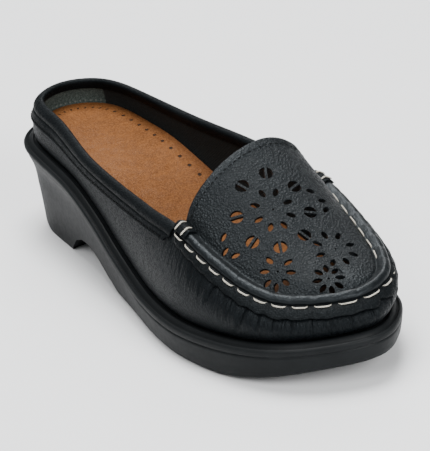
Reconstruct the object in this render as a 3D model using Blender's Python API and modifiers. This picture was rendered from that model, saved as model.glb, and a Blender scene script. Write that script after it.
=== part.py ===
import math

import bmesh
import bpy
import numpy as np
from mathutils import Matrix, Vector
from mathutils.bvhtree import BVHTree

# A right-foot moccasin clog. Z is up, the toe points to -Y, the lateral side is -X, and the
# origin lies on the floor under the middle of the sole. A station is a share of SOLE_LENGTH,
# measured from the back of the heel.

# Sole, in metres
SOLE_LENGTH = 0.245
SOLE_WIDTH = 0.0905
HEEL_HEIGHT = 0.0420  # floor to rim at the back
FOREFOOT_HEIGHT = 0.0138  # floor to rim under the ball of the foot
TOE_SPRING = 0.0095
HEEL_TAPER = 0.0066  # rim to floor, inwards
FOREFOOT_TAPER = 0.0045
BEAD_WIDTH = 0.0050  # the two beads and the groove above the rim
BEAD_HEIGHT = 0.0029
TRAY_HEIGHT = 0.0024  # rim to the face that upper and insole stand on
HEEL_PLATE_LENGTH = 0.0480
ARCH_LENGTH = 0.0640
ARCH_HEIGHT = 0.0132
TREAD_DEPTH = 0.0010
TREAD_BORDER = 0.0060
TREAD_START = 0.1130
LUG_LENGTH = 0.0120
LUG_WIDTH = 0.0065
TREAD_TEETH = 12
HEEL_TEETH = 8
TOOTH_PITCH = 0.0056
HEEL_TOOTH_PITCH = 0.0052
TOOTH_SLOT = 0.0028
TOOTH_LENGTH = 0.0065
TOOTH_OVERRUN = 1.3  # how far the slots run past the teeth
DROPLET_LENGTH = 0.0062
DROPLET_WIDTH = 0.0034
DROP_SIDES = 8
DROP_HEAD = 0.35  # from a drop's middle to its round head, as a share of its length
DROP_TAIL = 0.62

# Upper, plug, collar and insole
UPPER_WALL = 0.0018
COLLAR_HEIGHT = 0.0635  # floor to topline at the back
INSTEP_HEIGHT = 0.0780  # floor to the crown of the throat
PLUG_WALL = 0.0020
RIDGE_WIDTH = 0.0055
RIDGE_HEIGHT = 0.0032
COLLAR_LEATHER = 0.0012
COLLAR_ROLL = 0.0010
COLLAR_BAND_HEEL = 0.0066
COLLAR_BAND_TAB = 0.0052
COLLAR_HEM = 0.0035
TAB_LENGTH = 0.0085
TAB_LEATHER = 0.0011
INSOLE_THICKNESS = 0.0050
INSOLE_CUP = 0.0032  # how far its edge is drawn up
INSOLE_ROUND = 0.0050
CIRCLE_RADIUS = 0.0029
CIRCLE_BAR = 0.0012
PETAL_LENGTH = 0.0040
PETAL_WIDTH = 0.0022
CLEARANCE = 0.0003
SIDE_CLEARANCE = 0.0005  # between leather walls that lean
TAB_CLEARANCE = 0.0004
CUT_REACH = 0.0100  # how far a cutter stands out of the face that it cuts

# How finely the shapes are divided
HEEL_STEPS = 24  # from the heel to the tab, on each side
TOE_STEPS = 20  # from the tab to the toe tip, on each side
HALF = HEEL_STEPS + TOE_STEPS
WALL_STEPS = 6
PLUG_STEPS = 5
HOLE_SIDES = 6


def table(columns, *rows):
    """A short table, as one array for each named column."""
    return {name: np.array([row[k] for row in rows]) for k, name in enumerate(columns.split())}


# Half widths of the rim, as shares of SOLE_WIDTH
OUTLINE = table(
    "station lateral medial",
    (0.049, 0.258, 0.256),
    (0.163, 0.335, 0.340),
    (0.327, 0.385, 0.348),
    (0.490, 0.445, 0.414),
    (0.653, 0.515, 0.477),
    (0.776, 0.492, 0.464),
    (0.890, 0.387, 0.387),
    (0.963, 0.204, 0.249),
)
TOE_TIP_OFFSET = 0.072  # towards the medial side, as a share of SOLE_WIDTH
TAB_STATION = 0.653

# The rim stands at FOREFOOT_HEIGHT, plus a share of what the heel adds, plus a share of TOE_SPRING
RIM = table(
    "station heel toe",
    (0.000, 1.000, 0.000),
    (0.163, 0.911, 0.000),
    (0.286, 0.790, 0.000),
    (0.367, 0.557, 0.000),
    (0.441, 0.273, 0.000),
    (0.531, 0.060, 0.000),
    (0.653, 0.000, 0.000),
    (0.816, 0.000, 0.126),
    (1.000, 0.000, 0.600),
)
TREAD = table(
    "station toe",
    (0.000, 0.000),
    (0.600, 0.000),
    (0.796, 0.000),
    (0.865, 0.274),
    (0.906, 0.526),
    (0.947, 0.800),
    (1.000, 1.000),
)
# Side of the sole from floor to rim: shares of its height, and of the taper that is left
SIDE = table(
    "height heel forefoot",
    (0.00, 1.00, 1.00),
    (0.05, 0.90, 0.66),
    (0.18, 0.83, 0.42),
    (0.50, 0.68, 0.20),
    (0.82, 0.42, 0.07),
    (0.94, 0.14, 0.02),
    (1.00, 0.00, 0.00),
)
FLARE = table("station heel", (0.00, 1.0), (0.22, 1.0), (0.45, 0.35), (0.60, 0.0), (1.00, 0.0))
# Rim bead, groove, lip bead and tray edge: shares of BEAD_WIDTH and BEAD_HEIGHT
BEADS = table(
    "inset rise",
    (0.06, 0.41),
    (0.24, 0.59),
    (0.44, 0.31),
    (0.60, 0.80),
    (0.84, 1.00),
)
# Underside between heel plate and tread: shares of ARCH_LENGTH and ARCH_HEIGHT
ARCH = table(
    "along rise",
    (0.00, 0.00),
    (0.13, 0.62),
    (0.26, 0.90),
    (0.42, 1.00),
    (0.58, 0.80),
    (0.74, 0.44),
    (0.88, 0.14),
    (1.00, 0.00),
)
# Top edge of the upper's wall: insets as shares of SOLE_WIDTH, heights of COLLAR_HEIGHT
WALL_TOP = table(
    "station inset_lateral height_lateral inset_medial height_medial bulge",
    (0.000, 0.094, 0.955, 0.094, 0.955, 0.012),
    (0.163, 0.098, 0.935, 0.090, 0.940, 0.012),
    (0.327, 0.066, 0.871, 0.060, 0.922, 0.015),
    (0.449, 0.077, 0.839, 0.055, 0.905, 0.022),
    (0.551, 0.105, 0.824, 0.060, 0.872, 0.028),
    (0.653, 0.133, 0.811, 0.062, 0.813, 0.034),
    (0.714, 0.130, 0.752, 0.056, 0.762, 0.040),
    (0.776, 0.124, 0.678, 0.060, 0.708, 0.046),
    (0.837, 0.118, 0.600, 0.058, 0.654, 0.046),
    (0.900, 0.112, 0.550, 0.050, 0.602, 0.044),
    (0.955, 0.108, 0.542, 0.048, 0.566, 0.040),
    (1.000, 0.105, 0.545, 0.105, 0.545, 0.040),
)
# Crown line of the plug: heights as shares of INSTEP_HEIGHT, offset to the medial side
SPINE = table(
    "station height offset",
    (0.653, 1.000, 0.130),
    (0.714, 0.880, 0.115),
    (0.776, 0.750, 0.100),
    (0.837, 0.628, 0.086),
    (0.906, 0.520, 0.076),
)
SPINE_CROWDING = 1.7  # how fast the rows gather towards the toe
WALL_LEAN = 1.6  # how late the wall starts to lean inwards
PLUG_FULLNESS = 0.90  # less is rounder
THROAT_FULLNESS_LATERAL = 0.66
THROAT_FULLNESS_MEDIAL = 0.42
STEEPEST = 1.5  # how far a slope may thicken the plug upwards
SLOPE_STEP = 0.02  # the share of a row over which its slope is taken
# How far the insole's edge is drawn up, as a share of INSOLE_CUP
CUP = table(
    "station rise",
    (0.00, 0.10),
    (0.20, 0.20),
    (0.35, 0.85),
    (0.45, 1.00),
    (0.60, 0.60),
    (0.80, 0.30),
    (1.00, 0.30),
)
# Rounded edge of the insole: shares of INSOLE_ROUND and of the cup
INSOLE_EDGE = table("inset rise", (0.0, 1.0), (0.5, 0.55), (1.0, 0.2))
# Depth of the collar band's outer rows, as shares of the band
COLLAR_ROWS = (1.0, 0.55, 0.2, 0.0)
COLLAR_GAP = 0.15  # from the collar's end to the tab, in steps
# Droplets in the heel plate: shares of HEEL_PLATE_LENGTH and SOLE_WIDTH
DROPLETS = table("station offset", (0.25, -0.10), (0.25, 0.10), (0.52, -0.10), (0.52, 0.10))
# Section of the rolled seam ridge: outer and inner skin, as shares of RIDGE_WIDTH and RIDGE_HEIGHT
RIDGE = table(
    "out_in out_up in_in in_up",
    (0.00, 0.00, 0.29, 0.00),
    (-0.05, 0.40, 0.29, 0.15),
    (0.07, 0.80, 0.32, 0.30),
    (0.36, 1.05, 0.44, 0.40),
    (0.70, 0.86, 0.72, 0.30),
    (1.00, 0.60, 1.00, 0.00),
)
# Lugs under the forefoot: station, offset from the middle and size
LUGS = table(
    "station lateral medial size",
    (0.530, -0.140, 0.170, 0.55),
    (0.600, -0.160, 0.170, 0.70),
    (0.670, -0.180, 0.175, 0.85),
    (0.740, -0.180, 0.180, 1.00),
    (0.815, -0.160, 0.180, 1.10),
)
# Flowers cut in the plug: pin station, offset of the pin and radius as shares of SOLE_WIDTH
FLOWERS = table(
    "station offset radius",
    (0.763, -0.012, 0.081),
    (0.863, 0.128, 0.080),
    (0.846, -0.158, 0.060),
    (0.906, 0.001, 0.050),
)
FLOWER_PETALS = 8
# The ring of split circles round the first flower
CIRCLE_RING = 0.168  # its radius, as a share of SOLE_WIDTH
CIRCLE_TURN = math.radians(19)
# Single petals beside the ring, turned to the side of the foot
SPRAYS = table(
    "station offset turn",
    (0.741, -0.251, 200),
    (0.757, -0.277, 180),
    (0.776, -0.256, 150),
    (0.754, 0.211, -20),
    (0.772, 0.238, 0),
    (0.790, 0.224, 30),
)


def along(rows, name, station):
    """Smooth curve through a column of a table."""
    xs = rows["station"]
    ys = rows[name]
    rise = np.diff(ys) / np.diff(xs)
    gaps = np.diff(xs)
    slope = np.empty_like(ys)
    slope[0] = rise[0]
    slope[-1] = rise[-1]
    slope[1:-1] = (rise[:-1] * gaps[1:] + rise[1:] * gaps[:-1]) / (gaps[:-1] + gaps[1:])
    at = np.clip(np.asarray(station, float), xs[0], xs[-1])
    k = np.clip(np.searchsorted(xs, at, side="right") - 1, 0, len(xs) - 2)
    gap = gaps[k]
    t = (at - xs[k]) / gap
    start = (2 * t**3 - 3 * t**2 + 1) * ys[k] + (t**3 - 2 * t**2 + t) * gap * slope[k]
    end = (-2 * t**3 + 3 * t**2) * ys[k + 1] + (t**3 - t**2) * gap * slope[k + 1]
    return start + end


def closed_curve(points, steps=60):
    """Smooth closed curve through plan points, densely sampled."""
    count = len(points)
    spans = np.linalg.norm(np.roll(points, -1, axis=0) - points, axis=1) ** 0.5
    system = np.zeros((count, count))
    bends = np.zeros((count, 2))
    for i in range(count):
        before, after = spans[i - 1], spans[i]
        system[i, (i - 1) % count] += before
        system[i, i] += 2 * (before + after)
        system[i, (i + 1) % count] += after
        leaving = (points[(i + 1) % count] - points[i]) / after
        coming = (points[i] - points[i - 1]) / before
        bends[i] = 6 * (leaving - coming)
    second = np.linalg.solve(system, bends)
    dense = []
    for i in range(count):
        span = spans[i]
        j = (i + 1) % count
        b = np.linspace(0, span, steps, endpoint=False)[:, None]
        a = span - b
        cubic = (second[i] * a**3 + second[j] * b**3) / (6 * span)
        start = (points[i] / span - second[i] * span / 6) * a
        end = (points[j] / span - second[j] * span / 6) * b
        dense.append(cubic + start + end)
    return np.concatenate(dense)


class Outline:
    """The rim of the sole in plan. Its parameter q runs from the heel along the lateral side
    (tab at HEEL_STEPS), round the toe tip at HALF and back along the medial side."""

    def __init__(self):
        lateral = [(-w, s) for s, w in zip(OUTLINE["station"], OUTLINE["lateral"])]
        medial = [(w, s) for s, w in zip(OUTLINE["station"], OUTLINE["medial"])]
        shares = [(0, 0)] + lateral + [(TOE_TIP_OFFSET, 1)] + medial[::-1]
        points = np.array(shares) * (SOLE_WIDTH, SOLE_LENGTH)
        dense = closed_curve(points)
        dense[:, 0] -= (dense[:, 0].min() + dense[:, 0].max()) / 2
        dense[:, 1] -= dense[:, 1].min()
        dense[:, 1] *= SOLE_LENGTH / dense[:, 1].max()
        tip = int(dense[:, 1].argmax())
        self.points = np.vstack([dense, dense[:1]])
        steps = np.linalg.norm(np.diff(self.points, axis=0), axis=1)
        self.lengths = np.concatenate([[0], np.cumsum(steps)])
        tab = TAB_STATION * SOLE_LENGTH
        lateral_tab = np.interp(tab, self.points[: tip + 1, 1], self.lengths[: tip + 1])
        medial_tab = np.interp(-tab, -self.points[tip:, 1], self.lengths[tip:])
        self.knots = (0, HEEL_STEPS, HALF, 2 * HALF - HEEL_STEPS, 2 * HALF)
        self.marks = (0, lateral_tab, self.lengths[tip], medial_tab, self.lengths[-1])
        tangent = np.roll(dense, -1, axis=0) - np.roll(dense, 1, axis=0)
        tangent /= np.linalg.norm(tangent, axis=1)[:, None]
        inward = np.column_stack([tangent[:, 1], -tangent[:, 0]])
        self.inward = np.vstack([inward, inward[:1]])
        self.tip = tip

    def at(self, q, inset=0.0):
        """Plan points (x, distance from the heel) at an inset from the rim."""
        length = np.interp(np.asarray(q, float) % (2 * HALF), self.knots, self.marks)
        x, along_foot, nx, ns = (
            np.interp(length, self.lengths, values)
            for values in (*self.points.T, *self.inward.T)
        )
        size = np.hypot(nx, ns)
        return x + nx / size * inset, along_foot + ns / size * inset

    def station(self, q):
        return self.at(q)[1] / SOLE_LENGTH

    def q_at(self, station, medial=False):
        """The parameter where one side of the rim passes a station."""
        wanted = station * SOLE_LENGTH
        if medial:
            length = np.interp(-wanted, -self.points[self.tip:, 1], self.lengths[self.tip:])
        else:
            length = np.interp(wanted, self.points[: self.tip + 1, 1], self.lengths[: self.tip + 1])
        return float(np.interp(length, self.marks, self.knots))


OUTLINE_CURVE = Outline()


def place(q, inset, height):
    """World points on the curtain that stands at an inset from the rim."""
    x, along_foot = OUTLINE_CURVE.at(q, inset)
    return np.column_stack([x, SOLE_LENGTH / 2 - along_foot, np.broadcast_to(height, x.shape)])


def rim_height(station):
    heel = along(RIM, "heel", station) * (HEEL_HEIGHT - FOREFOOT_HEIGHT)
    return FOREFOOT_HEIGHT + heel + along(RIM, "toe", station) * TOE_SPRING


def tread_height(station):
    return np.maximum(along(TREAD, "toe", station), 0) * TOE_SPRING


def taper(station):
    flare = along(FLARE, "heel", station)
    return FOREFOOT_TAPER + flare * (HEEL_TAPER - FOREFOOT_TAPER)


def wall(q, v, outward=0.0):
    """Outer face of the upper's wall: v is 0 at the sole and 1 at the top edge."""
    station = OUTLINE_CURVE.station(q)
    medial = np.asarray(q) % (2 * HALF) > HALF
    inset = np.where(
        medial, along(WALL_TOP, "inset_medial", station), along(WALL_TOP, "inset_lateral", station)
    )
    height = np.where(
        medial, along(WALL_TOP, "height_medial", station), along(WALL_TOP, "height_lateral", station)
    )
    foot_inset = BEAD_WIDTH + 2 * CLEARANCE
    foot_height = rim_height(station) + TRAY_HEIGHT + CLEARANCE
    bulge = along(WALL_TOP, "bulge", station) * SOLE_WIDTH * np.sin(math.pi * np.asarray(v))
    lean = (inset * SOLE_WIDTH - foot_inset) * np.asarray(v) ** WALL_LEAN
    rise = (height * COLLAR_HEIGHT - foot_height) * np.asarray(v)
    return place(q, foot_inset + lean - bulge - outward, foot_height + rise)


def to_object(bm, name, collection, colour=None, roughness=0.5):
    """Turns a bmesh into an object with a material of its own."""
    mesh = bpy.data.meshes.new(name)
    bm.to_mesh(mesh)
    bm.free()
    made = bpy.data.objects.new(name, mesh)
    collection.objects.link(made)
    if colour is None:
        made.hide_render = True
        made.display_type = "WIRE"
        return made
    mesh.shade_smooth()
    mesh.set_sharp_from_angle(angle=math.radians(40))
    material = bpy.data.materials.new(name)
    material.use_nodes = True
    shader = material.node_tree.nodes["Principled BSDF"]
    shader.inputs["Base Color"].default_value = (*colour, 1)
    shader.inputs["Roughness"].default_value = roughness
    shader.inputs["Metallic"].default_value = 0
    mesh.materials.append(material)
    return made


def add_grid(bm, points, closed=False):
    """Quads between rows of points. It returns the vertices, row by row."""
    rows = [[bm.verts.new(point) for point in row] for row in points]
    for upper, lower in zip(rows, rows[1:]):
        bridge(bm, upper, lower, closed)
    return rows


def bridge(bm, first, second, closed=False):
    count = len(first)
    for i in range(count if closed else count - 1):
        j = (i + 1) % count
        bm.faces.new((first[i], first[j], second[j], second[i]))


def ladder_cap(bm, ring):
    """Closes a ring with rungs from one side of the foot to the other."""
    count = len(ring)
    half = count // 2
    bm.faces.new((ring[0], ring[1], ring[-1]))
    for i in range(1, half - 1):
        bm.faces.new((ring[i], ring[i + 1], ring[-i - 1], ring[-i]))
    bm.faces.new((ring[half - 1], ring[half], ring[half + 1]))


def loft(rings):
    """Closed solid through rings that all have the same number of points."""
    bm = bmesh.new()
    rows = add_grid(bm, rings, closed=True)
    ladder_cap(bm, rows[0])
    ladder_cap(bm, rows[-1])
    bmesh.ops.recalc_face_normals(bm, faces=bm.faces)
    return bm


def extrude_outline(outline, axis):
    """Closed prism from a flat outline, along a vector."""
    bm = bmesh.new()
    face = bm.faces.new([bm.verts.new(point) for point in outline])
    grown = bmesh.ops.extrude_face_region(bm, geom=[face])["geom"]
    moved = [element for element in grown if isinstance(element, bmesh.types.BMVert)]
    bmesh.ops.translate(bm, verts=moved, vec=axis)
    bmesh.ops.recalc_face_normals(bm, faces=bm.faces)
    return bm


def join(bm, other):
    """Adds the geometry of another bmesh and frees it."""
    mesh = bpy.data.meshes.new("joined")
    other.to_mesh(mesh)
    other.free()
    bm.from_mesh(mesh)
    bpy.data.meshes.remove(mesh)


def cut(target, cutter):
    boolean = target.modifiers.new(cutter.name, "BOOLEAN")
    boolean.operation = "DIFFERENCE"
    boolean.solver = "EXACT"
    boolean.use_self = True
    boolean.object = cutter


def full_ring():
    return np.arange(2 * HALF)


def sole_rings():
    q = full_ring()
    station = OUTLINE_CURVE.station(q)
    floor = tread_height(station)
    rim = rim_height(station)
    flare = along(FLARE, "heel", station)
    rings = []
    for height, heel, forefoot in zip(*SIDE.values()):
        left = forefoot + flare * (heel - forefoot)
        rings.append(place(q, left * taper(station), floor + height * (rim - floor)))
    for inset, rise in zip(*BEADS.values()):
        rings.append(place(q, inset * BEAD_WIDTH, rim + rise * BEAD_HEIGHT))
    rings.append(place(q, BEAD_WIDTH, rim + TRAY_HEIGHT))
    return rings


def arch_cutter():
    """Side profile of the heel breast and the shank, across the whole sole."""
    below = -CUT_REACH
    start = HEEL_PLATE_LENGTH
    stations = start + ARCH["along"] * ARCH_LENGTH
    heights = ARCH["rise"] * ARCH_HEIGHT
    slope = heights[1] / (stations[1] - stations[0])
    outline = [(stations[0] + below / slope, below)]
    outline += list(zip(stations[1:-1], heights[1:-1]))
    outline += [(stations[-1], below)]
    points = [(-SOLE_WIDTH, SOLE_LENGTH / 2 - s, z) for s, z in outline]
    return extrude_outline(points, (2 * SOLE_WIDTH, 0, 0))


def teardrop(centre, length, width, turn):
    """Plan outline with a round head and a pointed tail."""
    outline = []
    for k in range(DROP_SIDES):
        angle = 2 * math.pi * k / DROP_SIDES
        reach = length * (DROP_TAIL if k == 0 else DROP_HEAD)
        outline.append((reach * math.cos(angle), width / 2 * math.sin(angle)))
    cos, sin = math.cos(turn), math.sin(turn)
    return [(centre[0] + a * cos - b * sin, centre[1] + a * sin + b * cos) for a, b in outline]


def tread_cutter():
    """The sunk field of the forefoot tread, following the toe spring."""
    steps = 20
    start = TREAD_START / SOLE_LENGTH
    lateral = np.linspace(OUTLINE_CURVE.q_at(start), HALF, steps)
    medial = np.linspace(OUTLINE_CURVE.q_at(start, medial=True), HALF, steps)
    bm = bmesh.new()
    rows = []
    for q_lateral, q_medial in zip(lateral, medial):
        q = np.array([q_lateral, q_medial])
        station = OUTLINE_CURVE.station(q)
        inset = taper(station) + TREAD_BORDER
        top = place(q, inset, tread_height(station) + TREAD_DEPTH)
        bottom = top.copy()
        bottom[:, 2] -= CUT_REACH
        rows.append((top[0], top[1], bottom[1], bottom[0]))
    made = add_grid(bm, rows[:-1], closed=True)
    tip = [bm.verts.new(rows[-1][0]), bm.verts.new(rows[-1][3])]
    last = made[-1]
    bm.faces.new((last[0], last[1], tip[0]))
    bm.faces.new((last[3], last[2], tip[1]))
    bm.faces.new((last[1], last[2], tip[1], tip[0]))
    bm.faces.new((last[0], last[3], tip[1], tip[0]))
    bm.faces.new(made[0])
    bmesh.ops.recalc_face_normals(bm, faces=bm.faces)
    return bm


def lugs():
    """Raised drops that stay inside the sunk tread, in two rows that grow to the toe."""
    bm = bmesh.new()
    for station, lateral, medial, size in zip(*LUGS.values()):
        for side in (lateral, medial):
            centre = (side * SOLE_WIDTH, SOLE_LENGTH * (0.5 - station))
            turn = math.radians(180 if side < 0 else 0)
            outline = teardrop(centre, LUG_LENGTH * size, LUG_WIDTH * size, turn)
            points = [(x, y, -2 * CUT_REACH) for x, y in outline]
            join(bm, extrude_outline(points, (0, 0, 4 * CUT_REACH + TOE_SPRING)))
    return bm


def box(bm, centre, size):
    made = bmesh.ops.create_cube(bm, size=1)["verts"]
    bmesh.ops.scale(bm, verts=made, vec=size)
    bmesh.ops.translate(bm, verts=made, vec=centre)


def teeth():
    """Slots between the teeth at the start of the tread and at the front of the heel plate."""
    bm = bmesh.new()
    heel = HEEL_PLATE_LENGTH - TOOTH_LENGTH / 2
    tread = TREAD_START - TOOTH_LENGTH / 2 + 2 * CLEARANCE
    rows = (
        (tread, TOOTH_PITCH, TREAD_TEETH - 1, 2 * TREAD_DEPTH),
        (heel, HEEL_TOOTH_PITCH, HEEL_TEETH - 1, TREAD_DEPTH),
    )
    for along_foot, pitch, count, depth in rows:
        for k in range(count):
            x = (k - (count - 1) / 2) * pitch
            centre = (x, SOLE_LENGTH / 2 - along_foot, (depth - CUT_REACH) / 2)
            box(bm, centre, (TOOTH_SLOT, TOOTH_LENGTH * TOOTH_OVERRUN, depth + CUT_REACH))
    return bm


def droplets():
    """Four small drops sunk in the heel plate."""
    bm = bmesh.new()
    for station, offset in zip(*DROPLETS.values()):
        centre = (offset * SOLE_WIDTH, SOLE_LENGTH / 2 - station * HEEL_PLATE_LENGTH)
        outline = teardrop(centre, DROPLET_LENGTH, DROPLET_WIDTH, math.pi)
        points = [(x, y, -CUT_REACH) for x, y in outline]
        join(bm, extrude_outline(points, (0, 0, CUT_REACH + TREAD_DEPTH)))
    return bm


def outsole(parts, cutters):
    made = to_object(loft(sole_rings()), "outsole", parts, (0.012, 0.013, 0.014), 0.6)
    field = to_object(tread_cutter(), "tread_field", cutters)
    cut(field, to_object(lugs(), "tread_lugs", cutters))
    cut(made, to_object(arch_cutter(), "arch_gap", cutters))
    cut(made, field)
    cut(made, to_object(teeth(), "tooth_slots", cutters))
    cut(made, to_object(droplets(), "heel_droplets", cutters))


def insole(parts):
    q = full_ring()
    station = OUTLINE_CURVE.station(q)
    floor = rim_height(station) + TRAY_HEIGHT + CLEARANCE
    edge = BEAD_WIDTH + 2 * CLEARANCE + UPPER_WALL + SIDE_CLEARANCE
    top = floor + INSOLE_THICKNESS
    cup = INSOLE_CUP * along(CUP, "rise", station)
    rings = [place(q, edge, floor)]
    for inset, rise in zip(*INSOLE_EDGE.values()):
        rings.append(place(q, edge + inset * INSOLE_ROUND, top + rise * cup))
    to_object(loft(rings), "insole", parts, (0.43, 0.20, 0.085), 0.6)


def upper(parts):
    q = full_ring()
    rows = [wall(q, v) for v in np.linspace(0, 1, WALL_STEPS + 1)]
    bm = bmesh.new()
    add_grid(bm, rows, closed=True)
    face_outwards(bm)
    made = to_object(bm, "upper", parts, (0.012, 0.014, 0.017), 0.42)
    thicken(made, UPPER_WALL, -1)


def face_outwards(bm):
    """Turns an open skin so that its faces look away from the foot."""
    bmesh.ops.recalc_face_normals(bm, faces=bm.faces)
    centre = Vector((0, 0, FOREFOOT_HEIGHT))
    score = sum(face.normal.dot(face.calc_center_median() - centre) for face in bm.faces)
    if score < 0:
        bmesh.ops.reverse_faces(bm, faces=bm.faces)


def thicken(made, thickness, offset):
    solidify = made.modifiers.new("leather", "SOLIDIFY")
    solidify.thickness = thickness
    solidify.offset = offset
    solidify.use_even_offset = True


def plug_row(q, medial):
    """One row of the plug from its seam to the crown line, as outer and inner points."""
    edge = wall(np.array([q]), 1.0)[0]
    edge[2] += CLEARANCE
    share = (2 * HALF - HEEL_STEPS - q if medial else q - HEEL_STEPS) / TOE_STEPS
    first, last = SPINE["station"][0], SPINE["station"][-1]
    station = first + (last - first) * (1 - (1 - share) ** SPINE_CROWDING)
    crown = np.array([
        along(SPINE, "offset", station) * SOLE_WIDTH,
        SOLE_LENGTH * (0.5 - station),
        along(SPINE, "height", station) * INSTEP_HEIGHT - PLUG_WALL,
    ])
    reach = np.linalg.norm(crown[:2] - edge[:2])
    inward = (crown[:2] - edge[:2]) / reach
    at_throat = THROAT_FULLNESS_MEDIAL if medial else THROAT_FULLNESS_LATERAL
    fullness = PLUG_FULLNESS - (PLUG_FULLNESS - at_throat) * (1 - share) ** 2
    ridge_end = RIDGE_WIDTH / reach
    shares = list(ridge_end + (1 - ridge_end) * np.linspace(0, 1, PLUG_STEPS + 1)[1:])

    def skin(distance, rise, thick):
        w = min(max((distance - RIDGE_WIDTH) / (reach - RIDGE_WIDTH), 0.0), 1.0)
        arch = math.sin(math.pi / 2 * w) ** fullness if w > 0 else 0.0
        height = edge[2] + (crown[2] - edge[2]) * arch + rise
        if thick:
            ahead = math.sin(math.pi / 2 * min(w + SLOPE_STEP, 1)) ** fullness
            behind = math.sin(math.pi / 2 * max(w - SLOPE_STEP, 0)) ** fullness
            slope = (crown[2] - edge[2]) * (ahead - behind) / (2 * SLOPE_STEP * reach)
            height += PLUG_WALL * min(math.hypot(1, slope), STEEPEST)
        return (*(edge[:2] + inward * distance), height)

    def ridge(across, up):
        return [skin(a * RIDGE_WIDTH, b * RIDGE_HEIGHT, False) for a, b in zip(across, up)]

    outer = ridge(RIDGE["out_in"], RIDGE["out_up"])
    inner = ridge(RIDGE["in_in"], RIDGE["in_up"])
    outer += [skin(w * reach, 0, True) for w in shares]
    inner += [skin(w * reach, 0, False) for w in shares]
    return outer, inner


def plug_skins():
    """Rows of the whole plug from throat to toe, each from the lateral to the medial seam."""
    rows = []
    for k in range(TOE_STEPS + 1):
        q_lateral = HEEL_STEPS + k
        q_medial = 2 * HALF - HEEL_STEPS - k
        lateral = plug_row(q_lateral, False)
        medial = plug_row(q_medial, True)
        rows.append((lateral, medial))
    return rows


def plug_bmesh():
    rows = plug_skins()
    bm = bmesh.new()
    skins = []
    for layer in (0, 1):
        made = []
        for lateral, medial in rows[:-1]:
            middle = (np.array(lateral[layer][-1]) + np.array(medial[layer][-1])) / 2
            line = list(lateral[layer][:-1]) + [tuple(middle)] + list(medial[layer][:-1])[::-1]
            made.append([bm.verts.new(point) for point in line])
        for first, second in zip(made, made[1:]):
            bridge(bm, first, second)
        spoke = [bm.verts.new(point) for point in rows[-1][0][layer]]
        bridge(bm, made[-1][: len(spoke)], spoke)
        bridge(bm, made[-1][: -len(spoke) - 1 : -1], spoke)
        skins.append((made, spoke))
    outer, inner = skins
    bridge(bm, outer[0][0], inner[0][0])
    for side in (0, -1):
        seam_out = [row[side] for row in outer[0]] + [outer[1][0]]
        seam_in = [row[side] for row in inner[0]] + [inner[1][0]]
        bridge(bm, seam_out, seam_in)
    bmesh.ops.recalc_face_normals(bm, faces=bm.faces)
    return bm


def petal_outline():
    """A leaf-shaped hole that points along its own x."""
    outline = []
    for k in range(HOLE_SIDES):
        angle = 2 * math.pi * k / HOLE_SIDES
        outline.append((PETAL_LENGTH / 2 * math.cos(angle), PETAL_WIDTH / 2 * math.sin(angle)))
    return outline


def half_circle_outline(side):
    """Half of a round hole, beside the bar that splits it along its own x."""
    start = math.asin(CIRCLE_BAR / 2 / CIRCLE_RADIUS)
    outline = []
    for angle in np.linspace(start, math.pi - start, HOLE_SIDES - 1):
        outline.append((CIRCLE_RADIUS * math.cos(angle), side * CIRCLE_RADIUS * math.sin(angle)))
    return outline


def ornament():
    """Places and outlines of the holes: (x, y, turn, outline)."""
    holes = []
    for station, offset, radius in zip(*FLOWERS.values()):
        x, y = offset * SOLE_WIDTH, SOLE_LENGTH * (0.5 - station)
        for k in range(FLOWER_PETALS):
            turn = 2 * math.pi * k / FLOWER_PETALS
            reach = radius * SOLE_WIDTH
            holes.append((x + reach * math.cos(turn), y + reach * math.sin(turn), turn, petal_outline()))
    x = FLOWERS["offset"][0] * SOLE_WIDTH
    y = SOLE_LENGTH * (0.5 - FLOWERS["station"][0])
    for k in range(FLOWER_PETALS):
        turn = CIRCLE_TURN + 2 * math.pi * k / FLOWER_PETALS
        reach = CIRCLE_RING * SOLE_WIDTH
        for side in (-1, 1):
            place_xy = (x + reach * math.cos(turn), y + reach * math.sin(turn))
            holes.append((*place_xy, turn, half_circle_outline(side)))
    for station, offset, turn in zip(*SPRAYS.values()):
        y = SOLE_LENGTH * (0.5 - station)
        holes.append((offset * SOLE_WIDTH, y, math.radians(turn), petal_outline()))
    return holes


def hole_cutters(skin):
    """Prisms that stand square to the plug where each hole is."""
    bm = bmesh.new()
    reach = 2 * PLUG_WALL
    for x, y, turn, outline in ornament():
        spot, normal, _, _ = skin.ray_cast(Vector((x, y, 2 * INSTEP_HEIGHT)), Vector((0, 0, -1)))
        if spot is None:
            continue
        tilt = Vector((0, 0, 1)).rotation_difference(normal).to_matrix().to_4x4()
        matrix = Matrix.Translation(spot) @ tilt @ Matrix.Rotation(turn, 4, "Z")
        points = [matrix @ Vector((a, b, -reach)) for a, b in outline]
        join(bm, extrude_outline(points, normal * 2 * reach))
    return bm


def plug(parts, cutters):
    bm = plug_bmesh()
    skin = BVHTree.FromBMesh(bm)
    made = to_object(bm, "plug", parts, (0.014, 0.016, 0.019), 0.45)
    cut(made, to_object(hole_cutters(skin), "ornament_holes", cutters))


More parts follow.
